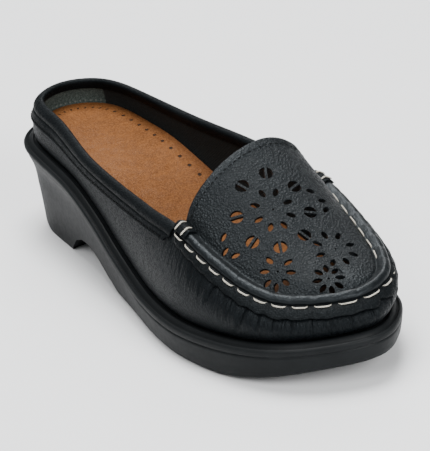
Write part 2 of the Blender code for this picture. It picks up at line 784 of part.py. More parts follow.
def tab(parts, name, medial):
    """Small keeper that saddles the start of the rolled seam."""
    pitch = (OUTLINE_CURVE.marks[2] - OUTLINE_CURVE.marks[1]) / TOE_STEPS
    steps = np.linspace(0, TAB_LENGTH / pitch, 3)
    rows = []
    for step in steps:
        q = 2 * HALF - HEEL_STEPS - step if medial else HEEL_STEPS + step
        outer = np.array(plug_row(q, medial)[0][1 : len(RIDGE["out_in"]) - 1])
        inward = outer[-1] - outer[0]
        inward[2] = 0
        inward /= np.linalg.norm(inward)
        run = (outer - outer[0]) @ inward
        slope = np.gradient(outer[:, 2], run)
        size = np.sqrt(1 + slope**2)
        lifted = outer + np.outer(-slope / size * TAB_CLEARANCE, inward)
        lifted[:, 2] += TAB_CLEARANCE / size
        lifted[0] = outer[0] - inward * math.sqrt(2) * TAB_CLEARANCE
        rows.append(lifted)
    bm = bmesh.new()
    add_grid(bm, rows)
    face_outwards(bm)
    made = to_object(bm, name, parts, (0.012, 0.014, 0.017), 0.45)
    thicken(made, TAB_LEATHER, 1)


def collar(parts):
    """Bound band round the opening, folded over the top edge of the upper."""
    end = HEEL_STEPS - COLLAR_GAP
    q = np.linspace(-end, end, 2 * HEEL_STEPS + 1)
    station = OUTLINE_CURVE.station(q)
    foot = wall(q, 0.0)[:, 2]
    top = wall(q, 1.0)[:, 2]
    near_tab = np.clip(station / TAB_STATION, 0, 1) ** 2
    band = COLLAR_BAND_HEEL + (COLLAR_BAND_TAB - COLLAR_BAND_HEEL) * near_tab
    height = top - foot

    def outside(depth, outward):
        return wall(q, 1 - depth / height, outward)

    inside = UPPER_WALL + 2 * SIDE_CLEARANCE
    over = wall(q, 1.0, -UPPER_WALL / 2)
    over[:, 2] += COLLAR_ROLL
    rows = [outside(share * band, SIDE_CLEARANCE) for share in COLLAR_ROWS]
    rows += [over, outside(0, -inside), outside(COLLAR_HEM, -inside)]
    bm = bmesh.new()
    add_grid(bm, rows)
    face_outwards(bm)
    made = to_object(bm, "collar", parts, (0.010, 0.012, 0.014), 0.5)
    thicken(made, COLLAR_LEATHER, 1)


def clear_scene():
    for old in list(bpy.data.objects):
        bpy.data.objects.remove(old)


def new_collection(name):
    made = bpy.data.collections.new(name)
    bpy.context.scene.collection.children.link(made)
    return made


def main():
    clear_scene()
    parts = new_collection("moccasin_clog")
    cutters = new_collection("cutters")
    outsole(parts, cutters)
    insole(parts)
    upper(parts)
    plug(parts, cutters)
    collar(parts)
    tab(parts, "tab_lateral", False)
    tab(parts, "tab_medial", True)


main()
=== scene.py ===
import math

import bmesh
import bpy
import numpy as np
from mathutils import Matrix, Vector
from mathutils.bvhtree import BVHTree


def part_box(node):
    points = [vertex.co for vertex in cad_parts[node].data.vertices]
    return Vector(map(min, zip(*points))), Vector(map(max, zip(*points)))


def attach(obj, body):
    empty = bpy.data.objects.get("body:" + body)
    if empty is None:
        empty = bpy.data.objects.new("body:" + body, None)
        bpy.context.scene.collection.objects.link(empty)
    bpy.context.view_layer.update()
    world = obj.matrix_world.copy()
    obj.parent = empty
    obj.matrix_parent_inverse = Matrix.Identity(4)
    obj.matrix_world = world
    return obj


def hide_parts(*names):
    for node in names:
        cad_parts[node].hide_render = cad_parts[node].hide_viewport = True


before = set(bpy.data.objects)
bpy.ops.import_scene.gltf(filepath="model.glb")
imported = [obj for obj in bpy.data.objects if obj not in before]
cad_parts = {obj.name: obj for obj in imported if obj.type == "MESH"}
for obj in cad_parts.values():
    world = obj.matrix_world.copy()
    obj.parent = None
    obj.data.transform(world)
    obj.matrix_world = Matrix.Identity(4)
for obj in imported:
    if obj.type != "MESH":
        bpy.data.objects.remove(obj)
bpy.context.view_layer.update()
print("frame loaded:", ", ".join(sorted(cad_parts)))

# A right-foot moccasin clog. The toe points to -Y and the lateral side is -X. A station is a
# share of the sole's length from the back of the heel. A turn runs round the rim: 0 at the heel,
# 1 at the lateral tab, 2 at the toe tip, 3 at the medial tab and 4 at the heel again.
soleLow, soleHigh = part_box("outsole")
upperLow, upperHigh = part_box("upper")
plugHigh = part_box("plug")[1]
clearance = 0.0003
tray = 0.0024
beadHeight = 0.0029
ridgeShare = 0.24  # where the seam's ridge ends, on the way from the seam to the crown line
crownBend = 1.7  # how quickly the crown line leaves the throat
shoe = {
    "length": soleHigh.y - soleLow.y,
    "width": soleHigh.x - soleLow.x,
    "middleX": (soleHigh.x + soleLow.x) / 2,
    "heelHeight": soleHigh.z - beadHeight,
    "forefootHeight": upperLow.z - tray - clearance,
    "toeSpring": 0.0095,
    "heelTaper": 0.0066,
    "forefootTaper": 0.0045,
    "beadWidth": 0.0050,
    "collarHeight": upperHigh.z / 0.955,
    "instepHeight": plugHigh.z,
    "upperWall": 0.0018,
    "plugWall": 0.0020,
    "ridgeWidth": 0.0055,
    "ridgeHeight": 0.0032,
}


def table(columns, *rows):
    return {name: np.array([row[k] for row in rows]) for k, name in enumerate(columns.split())}


outlineRows = table(
    "station lateral medial",
    (0.049, 0.258, 0.256),
    (0.163, 0.335, 0.340),
    (0.327, 0.385, 0.348),
    (0.490, 0.445, 0.414),
    (0.653, 0.515, 0.477),
    (0.776, 0.492, 0.464),
    (0.890, 0.387, 0.387),
    (0.963, 0.204, 0.249),
)
toeTipOffset = 0.072
tabStation = 0.653
rimRows = table(
    "station heel toe",
    (0.000, 1.000, 0.000),
    (0.163, 0.911, 0.000),
    (0.286, 0.790, 0.000),
    (0.367, 0.557, 0.000),
    (0.441, 0.273, 0.000),
    (0.531, 0.060, 0.000),
    (0.653, 0.000, 0.000),
    (0.816, 0.000, 0.126),
    (1.000, 0.000, 0.600),
)
treadRows = table(
    "station toe",
    (0.000, 0.000),
    (0.600, 0.000),
    (0.796, 0.000),
    (0.865, 0.274),
    (0.906, 0.526),
    (0.947, 0.800),
    (1.000, 1.000),
)
sideRows = table(
    "station heel forefoot",
    (0.00, 1.00, 1.00),
    (0.05, 0.90, 0.66),
    (0.18, 0.83, 0.42),
    (0.50, 0.68, 0.20),
    (0.82, 0.42, 0.07),
    (0.94, 0.14, 0.02),
    (1.00, 0.00, 0.00),
)
flareRows = table("station heel", (0.00, 1.0), (0.22, 1.0), (0.45, 0.35), (0.60, 0.0), (1.00, 0.0))
beadRows = table(
    "station inset rise",
    (0, 0.00, 0.00),
    (1, 0.05, 0.38),
    (2, 0.24, 0.58),
    (3, 0.40, 0.30),
    (4, 0.56, 0.70),
    (5, 0.80, 1.00),
    (6, 1.00, 0.80),
    (7, 1.00, 0.60),
)
archRows = table(
    "station rise",
    (0.00, 0.00),
    (0.13, 0.62),
    (0.26, 0.90),
    (0.42, 1.00),
    (0.58, 0.80),
    (0.74, 0.44),
    (0.88, 0.14),
    (1.00, 0.00),
)
wallRows = table(
    "station insetLateral heightLateral insetMedial heightMedial bulge",
    (0.000, 0.094, 0.955, 0.094, 0.955, 0.012),
    (0.163, 0.098, 0.935, 0.090, 0.940, 0.012),
    (0.327, 0.066, 0.871, 0.060, 0.922, 0.015),
    (0.449, 0.077, 0.839, 0.055, 0.905, 0.022),
    (0.551, 0.105, 0.824, 0.060, 0.872, 0.028),
    (0.653, 0.133, 0.811, 0.062, 0.813, 0.034),
    (0.714, 0.130, 0.752, 0.056, 0.762, 0.040),
    (0.776, 0.124, 0.678, 0.060, 0.708, 0.046),
    (0.837, 0.118, 0.600, 0.058, 0.654, 0.046),
    (0.900, 0.112, 0.550, 0.050, 0.602, 0.044),
    (0.955, 0.108, 0.542, 0.048, 0.566, 0.040),
    (1.000, 0.105, 0.545, 0.105, 0.545, 0.040),
)
spineRows = table(
    "station height offset",
    (0.653, 1.000, 0.130),
    (0.714, 0.880, 0.115),
    (0.776, 0.750, 0.100),
    (0.837, 0.628, 0.086),
    (0.906, 0.520, 0.076),
)
cupRows = table(
    "station rise",
    (0.00, 0.10),
    (0.20, 0.20),
    (0.35, 0.85),
    (0.45, 1.00),
    (0.60, 0.60),
    (0.80, 0.30),
    (1.00, 0.30),
)
ridgeRows = table(
    "station inwards up",
    (0, 0.00, 0.00),
    (1, -0.05, 0.40),
    (2, 0.07, 0.80),
    (3, 0.36, 1.05),
    (4, 0.70, 0.86),
    (5, 1.00, 0.60),
)


def along(rows, name, station):
    xs = rows["station"].astype(float)
    ys = rows[name].astype(float)
    gaps = np.diff(xs)
    rise = np.diff(ys) / gaps
    slope = np.empty_like(ys)
    slope[0] = rise[0]
    slope[-1] = rise[-1]
    slope[1:-1] = (rise[:-1] * gaps[1:] + rise[1:] * gaps[:-1]) / (gaps[:-1] + gaps[1:])
    at = np.clip(np.asarray(station, float), xs[0], xs[-1])
    k = np.clip(np.searchsorted(xs, at, side="right") - 1, 0, len(xs) - 2)
    t = (at - xs[k]) / gaps[k]
    start = (2 * t**3 - 3 * t**2 + 1) * ys[k] + (t**3 - 2 * t**2 + t) * gaps[k] * slope[k]
    end = (-2 * t**3 + 3 * t**2) * ys[k + 1] + (t**3 - t**2) * gaps[k] * slope[k + 1]
    return start + end


def smooth(x, low, high):
    t = np.clip((x - low) / (high - low), 0, 1)
    return t * t * (3 - 2 * t)


def runAlong(points):
    # distance from the first point of a line to each of its points
    return np.concatenate([[0], np.cumsum(np.linalg.norm(np.diff(points, axis=0), axis=1))])


def closedCurve(points, steps=60):
    count = len(points)
    spans = np.linalg.norm(np.roll(points, -1, axis=0) - points, axis=1) ** 0.5
    system = np.zeros((count, count))
    bends = np.zeros((count, 2))
    for i in range(count):
        before, after = spans[i - 1], spans[i]
        system[i, (i - 1) % count] += before
        system[i, i] += 2 * (before + after)
        system[i, (i + 1) % count] += after
        leaving = (points[(i + 1) % count] - points[i]) / after
        coming = (points[i] - points[i - 1]) / before
        bends[i] = 6 * (leaving - coming)
    second = np.linalg.solve(system, bends)
    dense = []
    for i in range(count):
        span = spans[i]
        j = (i + 1) % count
        b = np.linspace(0, span, steps, endpoint=False)[:, None]
        a = span - b
        cubic = (second[i] * a**3 + second[j] * b**3) / (6 * span)
        start = (points[i] / span - second[i] * span / 6) * a
        end = (points[j] / span - second[j] * span / 6) * b
        dense.append(cubic + start + end)
    return np.concatenate(dense)


class ShoeOutline:
    def __init__(self):
        rows = outlineRows
        lateral = [(-w, s) for s, w in zip(rows["station"], rows["lateral"])]
        medial = [(w, s) for s, w in zip(rows["station"], rows["medial"])]
        dense = closedCurve(np.array([(0, 0)] + lateral + [(toeTipOffset, 1)] + medial[::-1])
                            * (shoe["width"], shoe["length"]))
        dense[:, 0] -= (dense[:, 0].min() + dense[:, 0].max()) / 2
        dense[:, 0] *= shoe["width"] / np.ptp(dense[:, 0])
        dense[:, 1] -= dense[:, 1].min()
        dense[:, 1] *= shoe["length"] / dense[:, 1].max()
        tip = int(dense[:, 1].argmax())
        self.points = np.vstack([dense, dense[:1]])
        self.lengths = runAlong(self.points)
        tab = tabStation * shoe["length"]
        lateralTab = np.interp(tab, self.points[: tip + 1, 1], self.lengths[: tip + 1])
        medialTab = np.interp(-tab, -self.points[tip:, 1], self.lengths[tip:])
        self.marks = (0, lateralTab, self.lengths[tip], medialTab, self.lengths[-1])
        tangent = np.roll(dense, -1, axis=0) - np.roll(dense, 1, axis=0)
        tangent /= np.linalg.norm(tangent, axis=1)[:, None]
        inward = np.column_stack([tangent[:, 1], -tangent[:, 0]])
        self.inward = np.vstack([inward, inward[:1]])

    def at(self, turn, inset=0.0):
        run = np.interp(np.asarray(turn, float) % 4, (0, 1, 2, 3, 4), self.marks)
        x, s, nx, ns = (
            np.interp(run, self.lengths, values) for values in (*self.points.T, *self.inward.T)
        )
        size = np.hypot(nx, ns)
        return x + nx / size * inset, s + ns / size * inset

    def station(self, turn):
        return self.at(turn)[1] / shoe["length"]

    def run(self, turn):
        whole = np.floor(np.asarray(turn, float) / 4) * self.marks[4]
        return whole + np.interp(np.asarray(turn, float) % 4, (0, 1, 2, 3, 4), self.marks)


outline = ShoeOutline()


def place(turn, inset, height):
    x, s = outline.at(turn, inset)
    y = soleHigh.y - s
    return np.column_stack([x + shoe["middleX"], y, np.broadcast_to(height, x.shape)])


def rimHeight(station):
    heel = along(rimRows, "heel", station) * (shoe["heelHeight"] - shoe["forefootHeight"])
    return shoe["forefootHeight"] + heel + along(rimRows, "toe", station) * shoe["toeSpring"]


def treadHeight(station):
    return np.maximum(along(treadRows, "toe", station), 0) * shoe["toeSpring"]


def wallFoot(station):
    return rimHeight(station) + tray + clearance


def wallPoint(turn, v, outward=0.0):
    turn = np.asarray(turn, float)
    v = np.asarray(v, float)
    station = outline.station(turn)
    medial = turn % 4 > 2
    inset = np.where(
        medial, along(wallRows, "insetMedial", station), along(wallRows, "insetLateral", station)
    )
    height = np.where(
        medial, along(wallRows, "heightMedial", station), along(wallRows, "heightLateral", station)
    )
    footInset = shoe["beadWidth"] + 2 * clearance
    foot = wallFoot(station)
    bulge = along(wallRows, "bulge", station) * shoe["width"] * np.sin(math.pi * v)
    lean = (inset * shoe["width"] - footInset) * np.maximum(v, 0) ** 1.6
    rise = (height * shoe["collarHeight"] - foot) * v
    return place(turn, footInset + lean - bulge - outward, foot + rise)


def wallHeight(turn):
    return wallPoint(turn, np.ones_like(turn))[:, 2] - wallPoint(turn, np.zeros_like(turn))[:, 2]


def wallDepth(turn, depth, outward):
    return wallPoint(turn, 1 - depth / wallHeight(turn), outward)


def plugPoint(share, medial, inwards, lift=0.0):
    # inwards is 0 at the seam, ridgeShare at the foot of the ridge and 1 at the crown line
    turn = np.where(medial, 3 - share, 1 + share)
    edge = wallPoint(turn, np.ones_like(turn))
    edge[:, 2] += clearance
    first, last = spineRows["station"][0], spineRows["station"][-1]
    station = first + (last - first) * (1 - (1 - share) ** crownBend)
    crownX = along(spineRows, "offset", station) * shoe["width"] + shoe["middleX"]
    crownY = soleHigh.y - station * shoe["length"]
    crownZ = along(spineRows, "height", station) * shoe["instepHeight"] - shoe["plugWall"]
    deltaX, deltaY = crownX - edge[:, 0], crownY - edge[:, 1]
    reach = np.hypot(deltaX, deltaY)
    fullness = 0.90 - np.where(medial, 0.48, 0.24) * (1 - share) ** 2
    knot = np.clip(inwards / ridgeShare, 0, 1) * 5
    field = np.clip((inwards - ridgeShare) / (1 - ridgeShare), 0, 1)
    ridgeEnd = shoe["ridgeWidth"] / reach
    onRidge = inwards < ridgeShare
    w = np.where(onRidge, along(ridgeRows, "inwards", knot) * ridgeEnd, ridgeEnd + (1 - ridgeEnd) * field)
    wIn = np.clip((w - ridgeEnd) / (1 - ridgeEnd), 0, 1)

    def arch(t):
        return np.sin(math.pi / 2 * np.clip(t, 0, 1)) ** fullness

    step = 0.02
    slope = (crownZ - edge[:, 2]) * (arch(wIn + step) - arch(wIn - step)) / (2 * step * reach)
    steep = np.minimum(np.hypot(1, slope), 1.5) - 1
    wallLift = shoe["plugWall"] * (1 + steep * smooth(field, 0, 0.25))
    rise = np.where(onRidge, along(ridgeRows, "up", knot) * shoe["ridgeHeight"], wallLift)
    height = edge[:, 2] + (crownZ - edge[:, 2]) * arch(wIn) + rise + lift
    return np.column_stack([
        edge[:, 0] + deltaX * w,
        edge[:, 1] + deltaY * w,
        height,
    ])


# The seam between vamp and plug, measured in metres from the lateral tab
seamTurns = np.linspace(1, 3, 1201)
seamLine = wallPoint(seamTurns, np.ones_like(seamTurns))
seamRun = runAlong(seamLine)
seamLength = seamRun[-1]


def seamTurn(run):
    return np.interp(run, seamRun, seamTurns)


def seamRunAt(turn):
    return np.interp(turn, seamTurns, seamRun)


print(f"seam length {seamLength * 1000:.0f} mm")


def newMesh():
    bm = bmesh.new()
    bm.loops.layers.uv.new("UVMap")
    bm.verts.layers.float.new("mask")
    return bm


def layGrid(bm, columns, rows, mapping, material=0):
    # a flat grid laid on the shoe: mapping turns shares into points, UVs in metres and a mask
    made = bmesh.ops.create_grid(bm, x_segments=columns, y_segments=rows, size=0.5)["verts"]
    shares = np.array([tuple(vert.co)[:2] for vert in made]) + 0.5
    laid = mapping(shares[:, 0], shares[:, 1])
    uvLayer = bm.loops.layers.uv["UVMap"]
    maskLayer = bm.verts.layers.float["mask"]
    across = laid.get("across", shares[:, 0])
    down = laid.get("down", shares[:, 1])
    mask = laid.get("mask", np.zeros(len(shares)))
    index = {}
    for k, vert in enumerate(made):
        vert.co = laid["points"][k]
        vert[maskLayer] = mask[k]
        index[vert] = k
    faces = {face for vert in made for face in vert.link_faces}
    for face in faces:
        face.material_index = material
        for loop in face.loops:
            k = index[loop.vert]
            loop[uvLayer].uv = (across[k], down[k])


def faceOutwards(bm, centre):
    bmesh.ops.recalc_face_normals(bm, faces=bm.faces)
    score = sum(
        face.normal.dot(face.calc_center_median() - centre) * face.calc_area() for face in bm.faces
    )
    if score < 0:
        bmesh.ops.reverse_faces(bm, faces=bm.faces)


def makePiece(bm, name, materials, centre=None, sharp=None):
    bmesh.ops.remove_doubles(bm, verts=bm.verts, dist=2e-6)
    if centre is None:
        bmesh.ops.recalc_face_normals(bm, faces=bm.faces)
    else:
        faceOutwards(bm, Vector(centre))
    mesh = bpy.data.meshes.new(name)
    bm.to_mesh(mesh)
    bm.free()
    mesh.shade_smooth()
    if sharp is not None:
        mesh.set_sharp_from_angle(angle=math.radians(sharp))
    for material in materials:
        mesh.materials.append(material)
    made = bpy.data.objects.new(name, mesh)
    bpy.context.scene.collection.objects.link(made)
    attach(made, "root")
    print(f"{name}: {len(mesh.polygons)} faces")
    return made


def settle(made):
    # turns the modified shape into the object's own mesh
    graph = bpy.context.evaluated_depsgraph_get()
    mesh = bpy.data.meshes.new_from_object(made.evaluated_get(graph))
    old = made.data
    made.modifiers.clear()
    made.data = mesh
    mesh.name = made.name
    bpy.data.meshes.remove(old)


def solidify(made, thickness, offset=-1.0, inner=0, rim=0):
    modifier = made.modifiers.new("leather", "SOLIDIFY")
    modifier.thickness = thickness
    modifier.offset = offset
    modifier.use_even_offset = True
    modifier.use_quality_normals = True
    modifier.material_offset = inner
    modifier.material_offset_rim = rim
    return modifier


def roundEdges(made, width):
    bevel = made.modifiers.new("roundEdge", "BEVEL")
    bevel.width = width
    bevel.segments = 3
    bevel.limit_method = "ANGLE"
    bevel.angle_limit = math.radians(55)


def addStitch(bm, path, radius, rings=10, sides=8, flat=0.8):
    # one stitch: a ball stretched along a short path of points, round at both ends
    path = np.asarray(path)
    run = np.linspace(0, 1, len(path))
    made = bmesh.ops.create_uvsphere(bm, u_segments=sides, v_segments=rings, radius=1)["verts"]
    middle = Vector(path[len(path) // 2])
    tangent = Vector(path[-1] - path[0]).normalized()
    away = Vector((middle.x, 0, middle.z * 0.5)).normalized()
    side = tangent.cross(away).normalized()
    up = side.cross(tangent).normalized()
    uvLayer = bm.loops.layers.uv["UVMap"]
    for vert in made:
        x, y, z = vert.co
        t = math.asin(max(-1, min(1, z))) / math.pi + 0.5
        width = radius * (1 - abs(2 * t - 1) ** 5) ** 0.5
        round1 = math.hypot(x, y) or 1
        centre = Vector([float(np.interp(t, run, path[:, k])) for k in range(3)])
        vert.co = centre + side * (x / round1 * width) + up * (y / round1 * width * flat)
        if abs(z) > 0.999:
            vert.co = centre
        for loop in vert.link_loops:
            loop[uvLayer].uv = (t, math.atan2(y, x) / (2 * math.pi))


# Materials

def addNode(tree, kind, values=None, **settings):
    made = tree.nodes.new(kind)
    for key, value in settings.items():
        setattr(made, key, value)
    for key, value in (values or {}).items():
        made.inputs[key].default_value = value
    return made


def mathNode(tree, operation, first, second=None, clamp=False):
    made = addNode(tree, "ShaderNodeMath", operation=operation, use_clamp=clamp)
    for socket, value in zip(made.inputs, (first, second)):
        if isinstance(value, bpy.types.NodeSocket):
            tree.links.new(value, socket)
        elif value is not None:
            socket.default_value = value
    return made.outputs[0]


def rangeNode(tree, value, low, high, start=0.0, end=1.0):
    made = addNode(tree, "ShaderNodeMapRange", interpolation_type="SMOOTHSTEP")
    tree.links.new(value, made.inputs["Value"])
    made.inputs["From Min"].default_value = low
    made.inputs["From Max"].default_value = high
    made.inputs["To Min"].default_value = start
    made.inputs["To Max"].default_value = end
    return made.outputs["Result"]


def newGroup(name, inputs, outputs):
    tree = bpy.data.node_groups.new(name, "ShaderNodeTree")
    for label, kind, value in inputs:
        socket = tree.interface.new_socket(label, in_out="INPUT", socket_type=kind)
        if value is not None:
            socket.default_value = value
    for label, kind in outputs:
        tree.interface.new_socket(label, in_out="OUTPUT", socket_type=kind)
    return tree, tree.nodes.new("NodeGroupInput"), tree.nodes.new("NodeGroupOutput")


def makeGrain():
    # pebbled leather: rounded cells with fine creases between them
    tree, given, result = newGroup(
        "leatherGrain",
        [("Vector", "NodeSocketVector", None), ("Cells", "NodeSocketFloat", 900.0),
         ("Warp", "NodeSocketFloat", 0.0004)],
        [("Height", "NodeSocketFloat"), ("Creases", "NodeSocketFloat")],
    )
    link = tree.links.new
    bend = addNode(tree, "ShaderNodeTexNoise", {"Detail": 2.0, "Roughness": 0.5})
    bendScale = mathNode(tree, "MULTIPLY", given.outputs["Cells"], 0.45)
    link(given.outputs["Vector"], bend.inputs["Vector"])
    link(bendScale, bend.inputs["Scale"])
    centred = addNode(tree, "ShaderNodeVectorMath", {1: (0.5, 0.5, 0.5)}, operation="SUBTRACT")
    link(bend.outputs["Color"], centred.inputs[0])
    scaled = addNode(tree, "ShaderNodeVectorMath", operation="SCALE")
    link(centred.outputs[0], scaled.inputs[0])
    link(given.outputs["Warp"], scaled.inputs["Scale"])
    moved = addNode(tree, "ShaderNodeVectorMath", operation="ADD")
    link(given.outputs["Vector"], moved.inputs[0])
    link(scaled.outputs[0], moved.inputs[1])
    cells = addNode(tree, "ShaderNodeTexVoronoi", {"Randomness": 0.9}, feature="F1")
    link(moved.outputs[0], cells.inputs["Vector"])
    link(given.outputs["Cells"], cells.inputs["Scale"])
    fine = addNode(tree, "ShaderNodeTexNoise", {"Detail": 4.0, "Roughness": 0.6})
    link(given.outputs["Vector"], fine.inputs["Vector"])
    link(mathNode(tree, "MULTIPLY", given.outputs["Cells"], 2.3), fine.inputs["Scale"])
    away = mathNode(tree, "MULTIPLY", cells.outputs["Distance"], cells.outputs["Distance"])
    dome = rangeNode(tree, away, 0.0, 0.42, 1.0, 0.0)
    height = mathNode(tree, "ADD", mathNode(tree, "MULTIPLY", dome, 0.8),
                      mathNode(tree, "MULTIPLY", fine.outputs[0], 0.25))
    link(height, result.inputs["Height"])
    link(rangeNode(tree, dome, 0.0, 0.45, 1.0, 0.0), result.inputs["Creases"])
    return tree


def makePatina():
    # slow changes of shade and gloss, as handling leaves them
    tree, given, result = newGroup(
        "patina",
        [("Vector", "NodeSocketVector", None), ("Spots", "NodeSocketFloat", 40.0)],
        [("Shade", "NodeSocketFloat"), ("Dull", "NodeSocketFloat"), ("Specks", "NodeSocketFloat")],
    )
    link = tree.links.new
    slow = addNode(tree, "ShaderNodeTexNoise", {"Detail": 5.0, "Roughness": 0.6})
    link(given.outputs["Vector"], slow.inputs["Vector"])
    link(given.outputs["Spots"], slow.inputs["Scale"])
    quick = addNode(tree, "ShaderNodeTexNoise", {"Detail": 3.0, "Roughness": 0.65})
    link(given.outputs["Vector"], quick.inputs["Vector"])
    link(mathNode(tree, "MULTIPLY", given.outputs["Spots"], 7.0), quick.inputs["Scale"])
    dots = addNode(tree, "ShaderNodeTexVoronoi", feature="F1")
    link(given.outputs["Vector"], dots.inputs["Vector"])
    link(mathNode(tree, "MULTIPLY", given.outputs["Spots"], 12.0), dots.inputs["Scale"])
    link(rangeNode(tree, slow.outputs[0], 0.3, 0.7), result.inputs["Shade"])
    link(rangeNode(tree, quick.outputs[0], 0.35, 0.7), result.inputs["Dull"])
    few = mathNode(tree, "MULTIPLY", rangeNode(tree, dots.outputs["Distance"], 0.04, 0.10, 1.0, 0.0),
                   rangeNode(tree, quick.outputs[0], 0.52, 0.6))
    link(few, result.inputs["Specks"])
    return tree


def makeDotRow():
    # dots at an even pitch on a line at one distance from an edge
    tree, given, result = newGroup(
        "dotRow",
        [("Along", "NodeSocketFloat", 0.0), ("Inset", "NodeSocketFloat", 0.0),
         ("Pitch", "NodeSocketFloat", 0.007), ("Place", "NodeSocketFloat", 0.0035),
         ("Radius", "NodeSocketFloat", 0.0005)],
        [("Mask", "NodeSocketFloat")],
    )
    get = given.outputs
    ahead = mathNode(tree, "SUBTRACT", mathNode(tree, "FLOORED_MODULO", get["Along"], get["Pitch"]),
                     mathNode(tree, "MULTIPLY", get["Pitch"], 0.5))
    aside = mathNode(tree, "SUBTRACT", get["Inset"], get["Place"])
    far = mathNode(tree, "SQRT", mathNode(tree, "ADD", mathNode(tree, "MULTIPLY", ahead, ahead),
                                          mathNode(tree, "MULTIPLY", aside, aside)))
    share = mathNode(tree, "DIVIDE", far, get["Radius"])
    tree.links.new(rangeNode(tree, share, 0.75, 1.2, 1.0, 0.0), result.inputs["Mask"])
    return tree


def makeWeave():
    # plain textile: two crossing sets of ribs
    tree, given, result = newGroup(
        "weave",
        [("Vector", "NodeSocketVector", None), ("Ribs", "NodeSocketFloat", 1300.0)],
        [("Height", "NodeSocketFloat"), ("Shade", "NodeSocketFloat")],
    )
    link = tree.links.new
    scaled = addNode(tree, "ShaderNodeVectorMath", operation="SCALE")
    link(given.outputs["Vector"], scaled.inputs[0])
    link(given.outputs["Ribs"], scaled.inputs["Scale"])
    parts = addNode(tree, "ShaderNodeSeparateXYZ")
    link(scaled.outputs[0], parts.inputs[0])
    ups = mathNode(tree, "SINE", mathNode(tree, "MULTIPLY", parts.outputs["X"], math.pi))
    overs = mathNode(tree, "SINE", mathNode(tree, "MULTIPLY", parts.outputs["Y"], math.pi))
    height = mathNode(tree, "MULTIPLY", ups, overs)
    fuzz = addNode(tree, "ShaderNodeTexNoise", {"Detail": 3.0, "Roughness": 0.7})
    link(scaled.outputs[0], fuzz.inputs["Vector"])
    fuzz.inputs["Scale"].default_value = 0.6
    link(mathNode(tree, "ADD", mathNode(tree, "MULTIPLY", height, 0.5),
                  mathNode(tree, "MULTIPLY", fuzz.outputs[0], 0.8)), result.inputs["Height"])
    link(rangeNode(tree, fuzz.outputs[0], 0.35, 0.7), result.inputs["Shade"])
    return tree


def makeRubberSkin():
    # moulded rubber: fine pits, long scuffs and slow shine
    tree, given, result = newGroup(
        "rubberSkin",
        [("Vector", "NodeSocketVector", None)],
        [("Height", "NodeSocketFloat"), ("Shade", "NodeSocketFloat")],
    )
    link = tree.links.new
    pits = addNode(tree, "ShaderNodeTexNoise", {"Scale": 2600.0, "Detail": 3.0, "Roughness": 0.6})
    slow = addNode(tree, "ShaderNodeTexNoise", {"Scale": 55.0, "Detail": 5.0, "Roughness": 0.6})
    scuffs = addNode(tree, "ShaderNodeTexNoise", {"Scale": 300.0, "Detail": 2.0, "Distortion": 1.5})
    for texture in (pits, slow, scuffs):
        link(given.outputs["Vector"], texture.inputs["Vector"])
    link(mathNode(tree, "ADD", mathNode(tree, "MULTIPLY", pits.outputs[0], 0.6),
                  mathNode(tree, "MULTIPLY", scuffs.outputs[0], 0.4)), result.inputs["Height"])
    link(rangeNode(tree, slow.outputs[0], 0.3, 0.7), result.inputs["Shade"])
    return tree


groups = {
    "grain": makeGrain(),
    "patina": makePatina(),
    "dotRow": makeDotRow(),
    "weave": makeWeave(),
    "rubberSkin": makeRubberSkin(),
}


class Finish:
    # a material under construction, with its shader and its object coordinates at hand
    def __init__(self, name, constants):
        self.material = bpy.data.materials.new(name)
        self.material.use_nodes = True
        self.tree = self.material.node_tree
        self.shader = self.tree.nodes["Principled BSDF"]
        for key, value in constants.items():
            self.shader.inputs[key].default_value = value
        self.place = self.tree.nodes.new("ShaderNodeTexCoord").outputs["Object"]

    def group(self, name, vector=True, **values):
        made = self.tree.nodes.new("ShaderNodeGroup")
        made.node_tree = groups[name]
        for key, value in values.items():
            made.inputs[key].default_value = value
        if vector:
            self.tree.links.new(self.place, made.inputs["Vector"])
        return made

    def mix(self, share, first, second):
        made = addNode(self.tree, "ShaderNodeMix", data_type="RGBA")
        self.tree.links.new(share, made.inputs["Factor"])
        for slot, value in ((6, first), (7, second)):
            if isinstance(value, bpy.types.NodeSocket):
                self.tree.links.new(value, made.inputs[slot])
            else:
                made.inputs[slot].default_value = (*value, 1)
        return made.outputs[2]

    def axes(self):
        parts = addNode(self.tree, "ShaderNodeSeparateXYZ")
        self.tree.links.new(self.place, parts.inputs[0])
        return parts.outputs["X"], parts.outputs["Y"]

    def mask(self):
        return addNode(self.tree, "ShaderNodeAttribute", attribute_name="mask").outputs["Fac"]

    def uv(self):
        parts = addNode(self.tree, "ShaderNodeSeparateXYZ")
        source = addNode(self.tree, "ShaderNodeUVMap", uv_map="UVMap")
        self.tree.links.new(source.outputs[0], parts.inputs[0])
        return parts.outputs["X"], parts.outputs["Y"], source.outputs[0]

    def bump(self, height, distance, after=None, strength=1.0):
        made = addNode(self.tree, "ShaderNodeBump", {"Distance": distance, "Strength": strength})
        self.tree.links.new(height, made.inputs["Height"])
        if after is not None:
            self.tree.links.new(after, made.inputs["Normal"])
        return made.outputs[0]

    def close(self, colour=None, roughness=None, normal=None):
        for key, value in (("Base Color", colour), ("Roughness", roughness), ("Normal", normal)):
            if value is not None:
                self.tree.links.new(value, self.shader.inputs[key])
        return self.material


